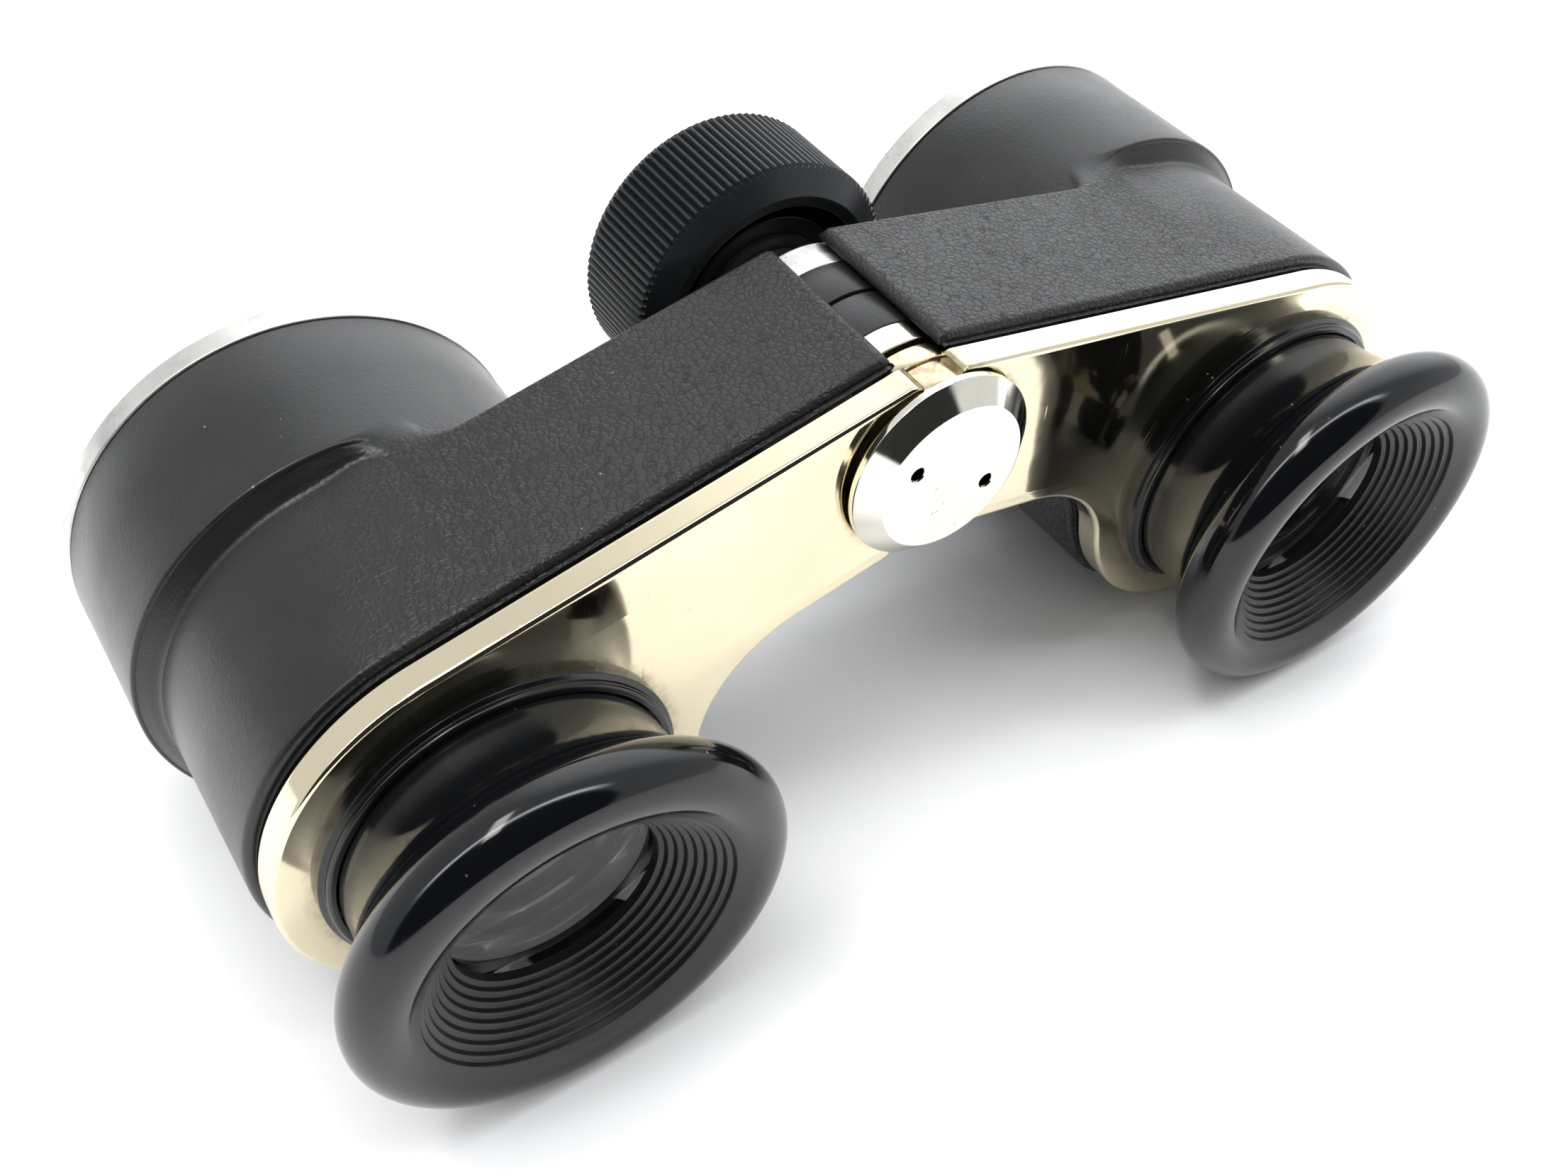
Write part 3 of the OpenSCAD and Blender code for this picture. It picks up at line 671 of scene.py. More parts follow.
def body_shell():
    """The casting as one grid of columns (round the outline) and rows (rear to front and back).

    Rear edge: C - e(1 - cos a) N at y = 2.9 + e(1 - sin a). Arm front: the same turned forward,
    then the flat, then a fillet down to the barrel. Step: radius p + h (sin a)^1.25 at height
    y0 + L sin a, with h the rise to the barrel, less a shallow sag at its foot, then a small crest."""
    C, N = body_outline, body_normals
    count = len(C)
    radial = C - EYE
    rho = np.linalg.norm(radial, axis=1)
    unit = radial / rho[:, None]
    from_hinge = np.linalg.norm(C, axis=1)
    edge = 0.12 + 0.45 * smooth(6.85, 7.45, from_hinge)
    arm = rho > BARREL_R + 1e-6
    gap = np.abs(rho - BARREL_R)
    s, c = quarter(EDGE_STEPS)
    rows = []

    def row(points, y):
        rows.append(np.stack([points[:, 0], np.broadcast_to(y, count), points[:, 1]], -1))

    # pocket behind the hinge for the plate's knuckle and its web
    phi = np.arctan2(C[:, 1], C[:, 0])
    reach = np.minimum(10.2 / np.maximum(np.cos(phi), 0.05), 6.2 / np.maximum(np.abs(np.sin(phi)), 0.05))
    in_hollow = from_hinge < 6.8
    stretch = np.where(in_hollow, np.maximum(1, reach / HOLLOW_R), 1.0)
    pocket = stretch > 1.003
    P = C * stretch[:, None]

    def rear(amount, y, k):
        lerp = np.clip((k - 3) / 3, 0, 1)
        walk = P + (C - P) * lerp
        deep = REAR_Y + 1.3 * np.clip(k / 3, 0, 1)
        where = np.where(pocket[:, None], walk, C - amount[:, None] * N)
        row(where, np.where(pocket, deep if k >= 0 else y, y))

    rear(1.12 * edge, np.full(count, LAND_Y), -1)
    rear(1.12 * edge, np.full(count, REAR_Y), -1)
    for k in range(EDGE_STEPS):
        rear(edge * (1 - s[k]), REAR_Y + edge * (1 - c[k]), k)
    row(C, np.full(count, REAR_Y + 1.3 + 0.05))

    # the front: over the arm's edge, or up the hollow step
    near = np.where(arm, 1 - smooth(0.4, 1.7, gap), 1 - smooth(0.05, 1.2, gap))
    melt = near * (C[:, 1] > 0)
    arm_edge = np.minimum(edge, 0.45 * gap)
    fillet = np.minimum(0.4, 0.45 * gap)
    crest = np.minimum(0.3, 0.4 * gap)
    length, dip = 0.95 * gap, 0.10 * gap
    rise = gap - crest
    start = np.where(arm, ARM_FRONT - arm_edge, BARREL_REAR - length) - 0.05

    def melted(points, y, t):
        """Mixes a hard step with a long soft S from the flat top to the barrel, where melt > 0."""
        soft = EYE + (rho + (BARREL_R - rho) * t * t * (3 - 2 * t))[:, None] * unit
        row(points + (soft - points) * melt[:, None], y + (MELT_Y0 + (MELT_Y1 - MELT_Y0) * t - y) * melt)

    melted(C, start, 0)
    for k in range(EDGE_STEPS):
        over = C - (arm_edge * (1 - c[k]))[:, None] * N
        sag = dip * (1 - np.cos(2 * np.pi * min(s[k] / 0.55, 1))) / 2
        up = EYE + (rho + rise * s[k] ** 1.25 - sag)[:, None] * unit
        y = np.where(arm, ARM_FRONT - arm_edge * (1 - s[k]), BARREL_REAR - length * (1 - s[k]))
        melted(np.where(arm[:, None], over, up), y, (k + 1) / (2 * EDGE_STEPS))
    rim_row = len(rows) - 1
    turn = barrel_angles(arm, unit)
    spoke = np.stack([np.cos(turn), np.sin(turn)], -1)
    for k in range(EDGE_STEPS):
        r = np.where(arm, BARREL_R + fillet * (1 - s[k]), BARREL_R - crest * (1 - s[k]))
        y = np.where(arm, ARM_FRONT + fillet * (1 - c[k]), BARREL_REAR + crest * (1 - c[k]))
        melted(EYE + r[:, None] * spoke, y, (k + EDGE_STEPS + 1) / (2 * EDGE_STEPS))
    for r, y in [(BARREL_R, 20.2), (BARREL_R, 26), (BARREL_R, 31.7), (BARREL_R - 0.04, 31.8),
                 (BARREL_R - 0.14, 31.88), (BARREL_R - 0.22, BARREL_FRONT), (CELL_R, BARREL_FRONT),
                 (CELL_R, CELL_SEAT), (LIGHT_R, CELL_SEAT), (LIGHT_R, GUIDE_END), (GUIDE_R, GUIDE_END),
                 (GUIDE_R, SEAL_SEAT), (SEAL_R, SEAL_SEAT), (SEAL_R, LAND_Y)]:
        row(EYE + r * spoke, np.full(count, y))
    points = np.stack(rows, 1)

    # flat faces instead of quads: the rear land, and the arm's front between edge and barrel
    flat = arm & (melt == 0) & (rho > BARREL_R + 1.5)
    first, last = np.flatnonzero(flat)[[0, -1]]
    skip = np.zeros((count, points.shape[1]), bool)
    skip[:, -1] = True
    skip[first:last, rim_row] = True
    verts, faces = grid(points, skip, close_v=True)
    ids = np.arange(count * points.shape[1]).reshape(count, -1)
    faces += flat_face(verts, ids[:, 0], ids[:, -1])
    around = [ids[first:last + 1, rim_row], ids[first:last + 1, rim_row + 1][::-1]]
    faces += flat_face(verts, np.concatenate(around))
    return verts, faces


def barrel_angles(arm, unit):
    """Where each column meets the barrel: straight in from the outline near the barrel, and spread
    evenly where the arm is far away, so that no two columns meet the barrel at one point."""
    polar = np.unwrap(np.arctan2(unit[:, 1], unit[:, 0]))
    far = arm & (np.linalg.norm(body_outline - EYE, axis=1) > BARREL_R + 1.5)
    far &= ~((body_outline[:, 0] > 22) & (body_outline[:, 1] > 0))
    first, last = np.flatnonzero(far)[[0, -1]]
    polar[first:last + 1] = np.linspace(polar[first], polar[last], last - first + 1)
    return polar


def knuckle(y0, y1, bore, reach, half_height, chamfer=0.12):
    """A hinge knuckle with the tongue that ties it into its arm.

    Its edge in polar form about the hinge is the larger of the knuckle's radius and the box
    min(reach / cos a, half_height / |sin a|), on the arm's side only."""
    a = np.linspace(0, 2 * np.pi, 192, endpoint=False)
    box = np.minimum(reach / np.maximum(np.cos(a), 1e-3), half_height / np.maximum(np.abs(np.sin(a)), 1e-3))
    edge = np.where(np.cos(a) > 0, np.maximum(KNUCKLE_R, box), KNUCKLE_R)[:, None]
    c = chamfer
    drop = np.array([0, c, 0.3 * c, 0, 0, 0.3 * c, c, 0])[None]
    y = np.array([y0, y0, y0 + 0.3 * c, y0 + c, y1 - c, y1 - 0.3 * c, y1, y1])[None] + 0 * edge
    r = edge - drop
    r[:, 0] = r[:, -1] = bore
    points = np.stack([r * np.cos(a)[:, None], y, r * np.sin(a)[:, None]], -1)
    return grid(points, close_v=True)


def leather_grain(x, y, z):
    """1 on the arm, fading out round the end, towards the barrel and on the hinge knuckle."""
    outward = 1 - smooth(31, 41, x + 0.15 * (y - 9))
    return outward * (1 - smooth(16, 19, y)) * smooth(6.9, 7.6, np.hypot(x, z))


KNUCKLE_R = 6.5
LUGS = {"left": (10.4, 13.75), "right": (6.45, 10.1)}
casting = body_shell()
for half, side in SIDES.items():
    lug = knuckle(*LUGS[half], 4.25, 7.4, 5.7)
    piece = make_piece(f"{half}_casting", [casting, lug], side, f"{half}_half", [f"{half}_body"])
    paint(piece, side, "grain", leather_grain)
    piece.data.materials.append(ENAMEL)

# %% [markdown]
# ## Eyepiece plates
#
# Each polished plate has the body's outline, a little smaller, with a small rounding on its front
# edge that catches the light. Its face must be truly flat or its reflections would bend, so the
# face is filled as one plane between the outline and the bore, and only the edge is curved.
# Each plate has its own knuckle on the focus spindle, one behind the other.

# %% Plates
PLATE_T, DRAW_R = 2.2, 11.0


def plate_shell():
    """Rows: bore, front face, rounded front edge, side, small rear edge, rear face, bore."""
    C, N = plate_outline, plate_normals
    count = len(C)
    from_hinge = np.linalg.norm(C, axis=1)
    front = 0.05 + 0.33 * smooth(6.8, 7.3, from_hinge)
    back = 0.05 + 0.10 * smooth(6.8, 7.3, from_hinge)
    s, c = quarter(7)
    rows = []
    for k in range(7):
        where = C - (front * (1 - s[k]))[:, None] * N
        rows.append(np.stack([where[:, 0], front * (1 - c[k]), where[:, 1]], -1))
    for y in (0.45, PLATE_T - 0.3):
        rows.append(np.stack([C[:, 0], np.full(count, y), C[:, 1]], -1))
    for k in range(6, -1, -2):
        where = C - (back * (1 - s[k]))[:, None] * N
        rows.append(np.stack([where[:, 0], PLATE_T - back * (1 - c[k]), where[:, 1]], -1))
    a = np.linspace(0, -2 * np.pi, count, endpoint=False)
    bore = EYE + (DRAW_R + 0.03) * np.stack([np.cos(a), np.sin(a)], -1)
    for y in (PLATE_T, 0.0):
        rows.append(np.stack([bore[:, 0], np.full(count, y), bore[:, 1]], -1))
    points = np.stack(rows, 1)
    skip = np.zeros((count, points.shape[1]), bool)
    skip[:, [-1, -3]] = True
    verts, faces = grid(points, skip, close_v=True)
    ids = np.arange(count * points.shape[1]).reshape(count, -1)
    faces += flat_face(verts, ids[:, 0], ids[:, -1])
    faces += flat_face(verts, ids[:, -3], ids[:, -2])
    return verts, faces


plate = plate_shell()
PLATE_KNUCKLES = {"left": (2.3, 3.9, 2.52, 10.0, 5.5), "right": (0.02, 2.1, 2.55, 7.4, 5.6)}
for half, side in SIDES.items():
    pieces = [plate, knuckle(*PLATE_KNUCKLES[half], chamfer=0.15)]
    piece = make_piece(f"{half}_polished_plate", pieces, side, f"{half}_bridge", [f"{half}_eyepiece_plate"])
    piece.data.materials.append(NICKEL[half])

# %% [markdown]
# ## Eyecups
#
# An eyecup is one turned moulding: a spigot in the draw tube, a short neck, a trumpet-shaped flare,
# a round glossy rim, a plain satin band, and a cone of fine steps that kills stray light. It is a
# single profile carried round the optical axis. The steps have small rounded noses, because
# sharp ones would glitter.

# %% Eyecup
RIM_TUBE = 2.25
NECK_R, SPIGOT_R, LENS_BORE, APERTURE_R = 11.4, 10.0, 8.5, 7.1
CONE_STEPS = 8


def cup_profile():
    """(r, y) from the spigot over the flare and rim and down the steps.

    The flare is the quadratic curve (1-t)^2 p + 2t(1-t) m + t^2 q from the neck to the rim."""
    rim = np.array([CUP_R - RIM_TUBE, CUP_TOP + RIM_TUBE])
    q = rim + RIM_TUBE * np.array([np.cos(np.radians(50)), np.sin(np.radians(50))])
    p = np.array([NECK_R, -2.1])
    m = np.array([NECK_R, q[1] + (q[0] - NECK_R) / np.tan(np.radians(50))])
    t = np.linspace(0, 1, 26)[:, None]
    flare = (1 - t) ** 2 * p + 2 * t * (1 - t) * m + t * t * q
    lip = arc(rim, RIM_TUBE, 50, -122, 56)[1:]
    foot = lip[-1]
    band = foot + np.array([-0.85, 0.42])
    run = (band[0] - APERTURE_R) / CONE_STEPS
    fall = (-7.6 - band[1]) / CONE_STEPS
    steps = [(*foot, 0), (*band, 0.12)]
    for i in range(CONE_STEPS):
        edge = band + i * np.array([-run, fall])
        steps += [(edge[0] - 0.16 * run, edge[1] + 0.80 * fall, 0.07), (edge[0] - run, edge[1] + fall, 0.07)]
    steps += [(APERTURE_R, -6.9, 0.05), (LENS_BORE, -6.9, 0)]
    cone = rounded(steps, 4)[1:]
    spigot = [(LENS_BORE, 5), (SPIGOT_R, 5), (SPIGOT_R, -0.8), (NECK_R, -0.8)]
    return np.concatenate([spigot, flare, lip, cone])


def satin_in_cone(x, y, z):
    """1 in the cone and on the band before it, 0 on the polished outside."""
    r = np.hypot(x - EYE_X, z + EYE_DROP)
    return (1 - smooth(11.2, 11.8, r)) * (1 - smooth(-2.2, -2.0, y))


CUP_BODY = {"left": "left_bridge", "right": "right_eyepiece"}
cup = turned(cup_profile(), steps=256)
for half, side in SIDES.items():
    piece = make_piece(f"{half}_moulded_eyecup", [cup], side, CUP_BODY[half], [f"{half}_eyecup"])
    paint(piece, side, "satin", satin_in_cone)
    piece.data.materials.append(CUP_BLACK)

# %% [markdown]
# ## Turned rings and tubes
#
# The collars, the objective rings, the draw tubes and the parts in the light path are all plain
# turned rings. Each is a short profile with its corners eased, carried round the optical axis.

# %% Rings round each optical axis
def ring(inner, outer, y0, y1, ease=0.1):
    """Profile of a tube with eased outer corners, closed on itself."""
    return rounded([(inner, (y0 + y1) / 2, 0), (inner, y0, ease), (outer, y0, ease), (outer, y1, ease),
                    (inner, y1, ease), (inner, (y0 + y1) / 2, 0)], 3)[:-1]


collar_profile = rounded([(11.46, -0.6, 0), (11.46, -1.3, 0.08), (12.05, -1.3, 0.25), (12.05, -0.78, 0.06),
                          (12.4, -0.6, 0.08), (12.4, 0, 0), (11.46, 0, 0)], 4)
objective_profile = rounded([
    (14.6, 31, 0), (14.6, 30.3, 0.1), (15.38, 30.3, 0), (15.38, 31.92, 0.02), (RING_R, 31.92, 0.12),
    (RING_R, RING_FRONT, 0.28), (15.3, RING_FRONT, 0.15), (14.6, 33.2, 0.1), (14.6, 31, 0)], 5)[:-1]
cell_profile = rounded([
    (13.4, 23.9, 0), (13.4, 23.4, 0.1), (15.38, 23.4, 0.1), (15.38, 29.8, 0.1), (14.3, 29.8, 0.1),
    (14.3, 24.4, 0.05), (13.4, 24.4, 0.1), (13.4, 23.9, 0)], 3)[:-1]
RINGS = [
    ("objective_ring", objective_profile, "half", "satin_aluminium", ALUMINIUM),
    ("objective_cell", cell_profile, "half", "black_metal", BLACKENED),
    ("objective_retainer", ring(13.5, 14.28, 27.75, 29.2), "half", "black_metal", BLACKENED),
    ("draw_tube", ring(10.05, DRAW_R, 0, 15.5), "bridge", "steel", TUBE_GREY),
    ("field_stop", ring(8.6, 10.03, 13.9, 15.3), "bridge", "black_metal", BLACKENED),
    ("collar", collar_profile, "bridge", "gloss_black", COLLAR_BLACK),
    ("eye_lens_retainer", ring(7.2, 8.48, -3.45, -2.2), "eyepiece", "black_metal", BLACKENED),
]


def owner(half, part, node):
    """The CAD body and node for a ring. The right eyepiece is its own body, and its collar is the
    dioptre ring."""
    if half == "right" and node == "collar":
        return "right_dioptre", "right_dioptre_ring"
    if part == "eyepiece":
        return CUP_BODY[half], f"{half}_{node}"
    return f"{half}_{part}", f"{half}_{node}"


def eye_radius(x, y, z):
    """A lathe mark's place: along the radius on faces, along the axis on walls."""
    return np.hypot(x - EYE_X, z + EYE_DROP) + y


for name, profile, part, slot, material in RINGS:
    shell = turned(profile)
    for half, side in SIDES.items():
        body, node = owner(half, part, name)
        piece = make_piece(f"{half}_{name}_turned", [shell], side, body, [node])
        paint(piece, side, "radius", eye_radius)
        paint(piece, side, "satin", lambda x, y, z: 0 * x)
        piece.data.materials.append(material)

# %% [markdown]
# ## Lenses
#
# A lens is a disc between two spherical faces. Its profile is worked out from the two radii of
# curvature, and the points are close together enough for smooth refraction.

# %% Lenses
def lens_profile(radius, rear_y, rear_bulge, front_y, front_bulge):
    """Pole to edge to pole. A face with vertex y0 and bulge b, the height at the edge r = R, is
    y = y0 + b (r / R)^2, which is a sphere's cap to well within the thickness of a line."""
    r = np.linspace(0, radius, 24)
    rear = np.stack([r, rear_y + rear_bulge * (r / radius) ** 2], -1)
    front = np.stack([r, front_y + front_bulge * (r / radius) ** 2], -1)[::-1]
    return np.concatenate([rear, front])


LENSES = [
    ("eye_lens", lens_profile(8.44, -5.7, -1.15, -4.5, 0.98), "eyepiece", "clear_glass", CLEAR_GLASS),
    ("objective_flint", lens_profile(14.2, 24.47, 0.0, 25.37, 1.62), "half", "clear_glass", CLEAR_GLASS),
    ("objective_crown", lens_profile(14.2, 25.42, 1.62, 29.0, -1.45), "half", "coated_glass", COATED_GLASS),
]
for name, profile, part, slot, material in LENSES:
    shell = turned(profile, closed=False)
    for half, side in SIDES.items():
        body, node = owner(half, part, name)
        piece = make_piece(f"{half}_{name}_ground", [shell], side, body, [node])
        piece.data.materials.append(material)

# %% [markdown]
# ## Cap
#
# The bright cap screws on the spindle's end. It was turned, with a wide bevel and a flat face, and
# has two drilled holes for a pin spanner. The face is one plane with two round holes left in
# it, and each hole is a small tube with a floor, painted dark inside as painted shade.

# %% Cap
CAP_R, CAP_FACE_R, CAP_TOP, CAP_BEVEL, CAP_BACK = 7.0, 5.5, -2.1, -0.85, -0.32
HOLE_R, HOLE_AT, HOLE_TILT, HOLE_FLOOR = 0.5, 3.4, 30, -1.25
CAP_STEPS, HOLE_STEPS = 192, 40


def cap_shell():
    """Bevel and rim as a lathe; the flat face filled round the holes; each hole a short lathe."""
    profile = rounded([(2.52, CAP_BACK, 0), (CAP_R, CAP_BACK, 0.12), (CAP_R, CAP_BEVEL, 0.10),
                       (CAP_FACE_R, CAP_TOP, 0.14), (5.0, CAP_TOP, 0)], 4)
    profile = np.concatenate([profile, [[5.2, CAP_TOP]]])[:-1]
    a = np.linspace(0, 2 * np.pi, CAP_STEPS, endpoint=False)
    around = carried_round(profile, a)
    verts, faces = grid(around)
    loops = [np.arange(len(verts)).reshape(CAP_STEPS, -1)[:, -1]]
    b = np.linspace(0, -2 * np.pi, HOLE_STEPS, endpoint=False)
    wall = rounded([(HOLE_R + 0.22, CAP_TOP, 0), (HOLE_R + 0.10, CAP_TOP, 0.02),
                    (HOLE_R, CAP_TOP + 0.09, 0.03), (HOLE_R, HOLE_FLOOR, 0.05), (0.0, HOLE_FLOOR, 0)], 3)
    tilt = np.radians(HOLE_TILT)
    for way in (-1, 1):
        more, quads = grid(carried_round(wall, b, way * HOLE_AT * np.array([np.cos(tilt), -np.sin(tilt)])))
        faces += [[i + len(verts) for i in quad] for quad in quads]
        loops.append(len(verts) + np.arange(len(more)).reshape(HOLE_STEPS, -1)[:, 0])
        verts = np.concatenate([verts, more])
    faces += flat_face(verts, *loops)
    back = np.arange(CAP_STEPS) * around.shape[1]
    middle = len(verts)
    verts = np.concatenate([verts, [[0, CAP_BACK, 0]]])
    faces += [[int(i), int(j), middle] for i, j in zip(back, np.roll(back, -1))]
    return verts, faces


def hinge_radius(x, y, z):
    return np.hypot(x, z) + y


cap = make_piece("spindle_cap", [cap_shell()], 0, "left_bridge", ["hinge_cap"])
paint(cap, 0, "radius", hinge_radius)
# painted shade: every point below the cap's face within 4.5 mm of the hinge is darkened, which covers the
# holes' walls and floors and the hidden back
paint(cap, 0, "dirt", lambda x, y, z: smooth(CAP_TOP + 0.03, CAP_TOP + 0.14, y) * (np.hypot(x, z) < 4.5))
cap.data.materials.append(CAP_METAL)

# %% [markdown]
# ## Bushes and washers on the hinge
#
# Between the knuckles are turned bushes: a bright front one, a warmer nickel one behind the plates,
# and a thin steel washer. They have the same radius as the knuckles and small eased edges.

# %% Hinge rings
HINGE_RINGS = [
    ("front_hinge_bush", ring(4.22, KNUCKLE_R, 13.8, 16.4, 0.15), "left_half", "satin_aluminium", ALUMINIUM),
    ("rear_hinge_bush", ring(4.22, KNUCKLE_R, 4.4, 6.4, 0.12), "left_half", "plated_nickel", BUSH_NICKEL),
    ("hinge_washer", ring(4.25, 5.9, 10.15, 10.35, 0.04), "left_half", "steel", STEEL),
]
for name, profile, body, slot, material in HINGE_RINGS:
    piece = make_piece(f"{name}_turned", [turned(profile, eye=False)], 0, body, [name])
    paint(piece, 0, "radius", hinge_radius)
    piece.data.materials.append(material)

# %% [markdown]
# ## Focus knob
#
# The knob is a black drum with a fine straight knurl, a smooth bevel towards the hinge, and a
# deep ring-shaped recess in that face. The knurl is real relief. The radius is a function of the
# angle and of y: a groove cut at constant depth runs out on the bevel by itself where
# the bevel is lower than the groove's floor, which gives the scalloped edge of the real one.

# %% Knob
TEETH, GROOVE = 108, 0.36
POINTS_PER_TOOTH = 8
NUT_R, RECESS_FLOOR, PLATE_SEAT_R, PLATE_SEAT = 5.02, 23.6, 9.0, 26.9


def knob_shell():
    """Outer surface: r(a, y) = min(turned(y), R - d g(a)), with g a narrow groove once a tooth,
    g = (1/2 + cos(n a) / 2)^1.6."""
    a = np.linspace(0, 2 * np.pi, TEETH * POINTS_PER_TOOTH, endpoint=False)[:, None]
    groove = (0.5 + 0.5 * np.cos(TEETH * a)) ** 1.6
    near = rounded([(NUT_R, 22, 0), (NUT_R, 20.2, 0.1), (6.3, 20.2, 0.15), (6.3, RECESS_FLOOR, 0.1),
                    (7.6, RECESS_FLOOR, 0.1), (7.6, KNOB_Y0, 0.12), (8.4, KNOB_Y0, 0.12),
                    (8.5, KNOB_Y0 + 0.06, 0)], 4)
    bevel = np.linspace((8.55, KNOB_Y0 + 0.10), (KNOB_R - 0.03, KNOB_Y0 + 1.25), 16)
    wall = np.stack([np.full(6, KNOB_R), np.linspace(KNOB_Y0 + 1.4, KNOB_Y1 - 0.7, 6)], -1)
    far = rounded([(KNOB_R, KNOB_Y1 - 0.7, 0), (KNOB_R, KNOB_Y1 - 0.35, 0.2), (KNOB_R - 0.35, KNOB_Y1, 0.1),
                   (PLATE_SEAT_R, KNOB_Y1, 0.1), (PLATE_SEAT_R, PLATE_SEAT, 0.05), (NUT_R, PLATE_SEAT, 0.05),
                   (NUT_R, 22, 0)], 4)[1:-1]
    profile = np.concatenate([near, bevel, wall, far])
    number = np.arange(len(profile)) - len(near)
    on_outside = (profile[:, 0] > 8.52) & (profile[:, 1] < KNOB_Y1 - 0.02)
    on_outside &= (number >= 0) & (number < len(bevel) + len(wall) + 8)
    r = profile[None, :, 0] + 0 * a
    r = np.where(on_outside[None], np.minimum(r, KNOB_R - GROOVE * groove), r)
    y = profile[None, :, 1] + 0 * a
    return grid(np.stack([r * np.cos(a), y, r * np.sin(a)], -1), close_v=True)


knob = make_piece("knurled_focus_knob", [knob_shell()], 0, "knob", ["focus_knob"])
paint(knob, 0, "satin", lambda x, y, z: 0 * x + 1)
knob.data.materials.append(KNOB_BLACK)

# %% [markdown]
# ## Inner parts that keep their CAD shape
#
# The guide tubes, seals, spindle, nut and the small hinge parts are plain turned solids, exact in
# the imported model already. They keep their meshes and get the finish of their metal.

# %% Finishes for the CAD nodes that stay
KEPT_FINISHES = {
    "guide_tube": BRASS, "dust_seal": FELT, "hinge_tube": STEEL, "keeper_screw": STEEL,
    "focus_spindle": STEEL, "cap_washer": BLACKENED, "focus_nut": BLACKENED, "knob_end_plate": KNOB_BLACK,
}
kept = []
for name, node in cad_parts.items():
    short = name.replace("left_", "").replace("right_", "")
    if short in KEPT_FINISHES:
        node.data.materials.clear()
        node.data.materials.append(KEPT_FINISHES[short])
        kept.append(name)
print("kept CAD nodes:", len(kept))

# %% [markdown]
# ## Floor
#
# The binoculars lie on a white sweep. They rest on the two objective rings and the two eyecups,
# which aren't at one height, so the floor is tipped a little under them.

# %% Floor
FLOOR_SIZE, FLOOR_GAP = 1.2, 0.00005


def make_floor():
    """A plane z = a + b y through the lowest points of the rings and of the eyecups."""
    material, tree, shader = finish_of("white_sweep", Roughness=0.6, Specular_IOR_Level=0.2)
    cloud = use(tree, MOTTLE, Scale=9.0)
    paper = mix(tree, cloud.outputs[0], (0.93, 0.93, 0.935, 1), (0.95, 0.95, 0.95, 1))
    tree.links.new(paper, shader.inputs["Base Color"])
    ring_y, cup_y = (ring_low[1] + ring_high[1]) / 2, cup_low[1] + RIM_TUBE * MM
    slope = (ring_low[2] - cup_low[2]) / (ring_y - cup_y)
    corners = FLOOR_SIZE * np.array([[-1, -1], [1, -1], [1, 1], [-1, 1]])
    z = ring_low[2] + slope * (corners[:, 1] - ring_y) - FLOOR_GAP
    mesh = bpy.data.meshes.new("floor")
    mesh.from_pydata(np.column_stack([corners, z]).tolist(), [], [[0, 1, 2, 3]])
    mesh.materials.append(material)
    floor = bpy.data.objects.new("floor", mesh)
    bpy.context.scene.collection.objects.link(floor)
    print(f"floor slope {np.degrees(np.arctan(slope)):.2f} deg")


make_floor()

# %% [markdown]
# ## Light
#
# Glossy black shows only what it reflects, so the room matters more than the lamps. The sky is pale,
# brighter across the table, and dark on the near side, which gives the eyecups and the cap's bevel
# their deep blacks. A strip of window draws the streaks on the rims. A large softbox overhead
# whitens the floor and is kept out of reflections, where it would wash the blacks out.

# %% Lights
def area_light(name, place_at, aim, size, power, long=1.0, colour=(1, 1, 1), in_reflections=True):
    """A soft light at a point, turned to face another, long times as wide as it is high."""
    data = bpy.data.lights.new(name, "AREA")
    data.shape, data.size, data.size_y = "RECTANGLE", size * long, size
    data.energy, data.color = power, colour
    lamp = bpy.data.objects.new(name, data)
    way = Vector(aim) - Vector(place_at)
    turn = way.to_track_quat("-Z", "Y").to_matrix().to_4x4()
    lamp.matrix_world = Matrix.Translation(place_at) @ turn
    lamp.visible_glossy = in_reflections
    bpy.context.scene.collection.objects.link(lamp)


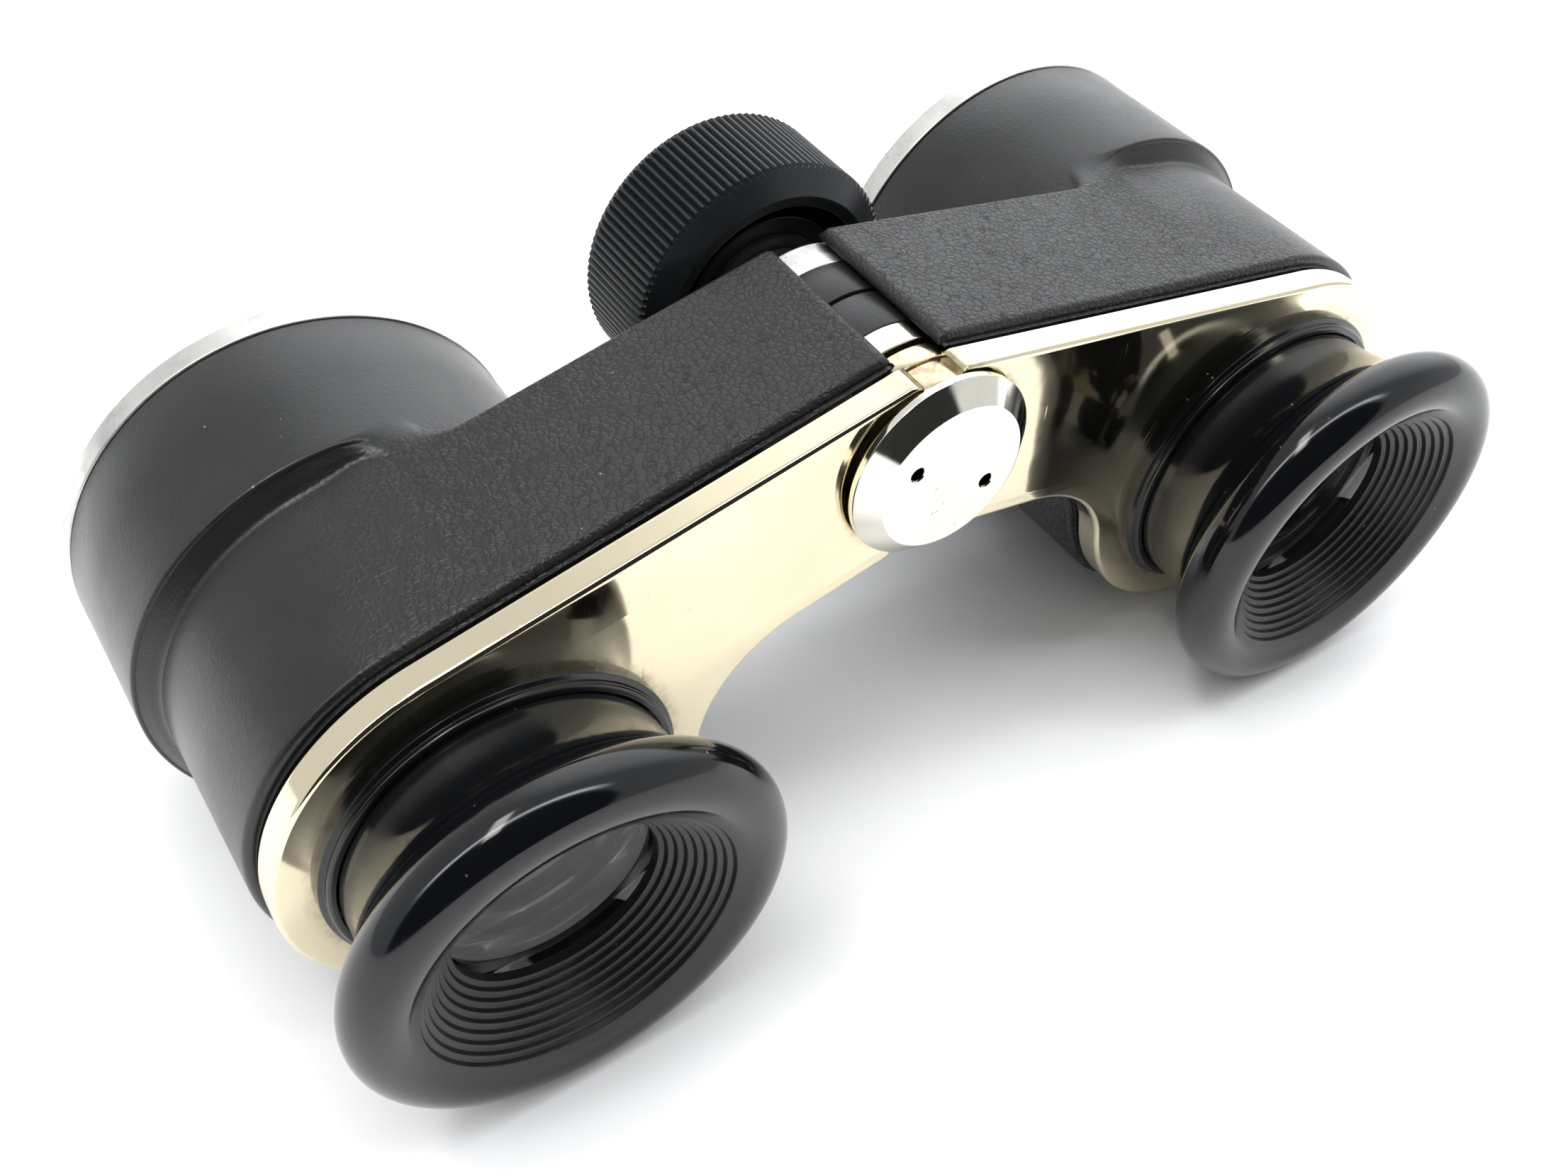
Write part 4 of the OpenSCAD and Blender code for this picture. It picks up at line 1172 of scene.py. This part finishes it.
def make_daylight():
    """A pale room. It is dark on the near side of the table, with a bright strip of window above
    that, and brighter across the table. facing is the cosine of the angle to a direction."""
    world = bpy.data.worlds.new("soft_daylight")
    world.use_nodes = True
    tree = world.node_tree
    way = tree.nodes.new("ShaderNodeTexCoord").outputs["Generated"]

    def facing(direction):
        node = add(tree, "ShaderNodeVectorMath", [(0, way)], operation="DOT_PRODUCT")
        node.inputs[1].default_value = Vector(direction).normalized()
        return node.outputs["Value"]

    near = facing((-0.38, -0.78, 0.50))
    room = ramp(tree, near, 0.58, 0.64, 0.8, 0.03)
    across = ramp(tree, facing((0.65, 0.60, 0.46)), 0.66, 0.99, 1.0, 2.8)
    strip = math(tree, "MULTIPLY", ramp(tree, near, 0.47, 0.52), ramp(tree, near, 0.55, 0.59, 1.0, 0.0))
    window = math(tree, "MULTIPLY", strip, ramp(tree, facing((-0.15, 0, 1)), 0.55, 0.85, 0.0, 8.0))
    light = math(tree, "ADD", math(tree, "MULTIPLY", room, across), window)
    tree.links.new(light, tree.nodes["Background"].inputs["Strength"])
    tree.nodes["Background"].inputs["Color"].default_value = (0.95, 0.975, 1.0, 1)
    bpy.context.scene.world = world


make_daylight()
area_light("window", (-0.20, 0.07, 0.58), (0, 0, 0.02), 0.09, 0.8, 3.5, (1.0, 0.98, 0.95))
area_light("overhead_softbox", (0, 0, 0.8), (0, 0, 0), 1.5, 7.5, in_reflections=False)

# %% [markdown]
# ## Tones and camera
#
# The plain view transform keeps white paper white and black enamel deep. The camera looks down from
# over the left eyecup, a little turned, through a lens of normal length. Its three directions were
# worked out from the real object's circles, which look like ellipses from there.

# %% Tones
bpy.context.scene.view_settings.view_transform = "Standard"

# %% Camera
CAMERA_AT = (-0.05112, -0.067445, 0.10185)
RIGHT, DOWN, FORWARD = (0.8348, -0.5499, 0.0273), (-0.3913, -0.6274, -0.6733), (0.3874, 0.5513, -0.7389)
camera_data = bpy.data.cameras.new("camera")
camera_data.lens, camera_data.sensor_width = 36.33, 36.0
camera_data.clip_start, camera_data.clip_end = 0.001, 10.0
camera = bpy.data.objects.new("camera", camera_data)
turn = Matrix((Vector(RIGHT), -Vector(DOWN), -Vector(FORWARD))).transposed()
camera.matrix_world = Matrix.Translation(CAMERA_AT) @ turn.to_4x4()
bpy.context.scene.collection.objects.link(camera)
bpy.context.scene.camera = camera
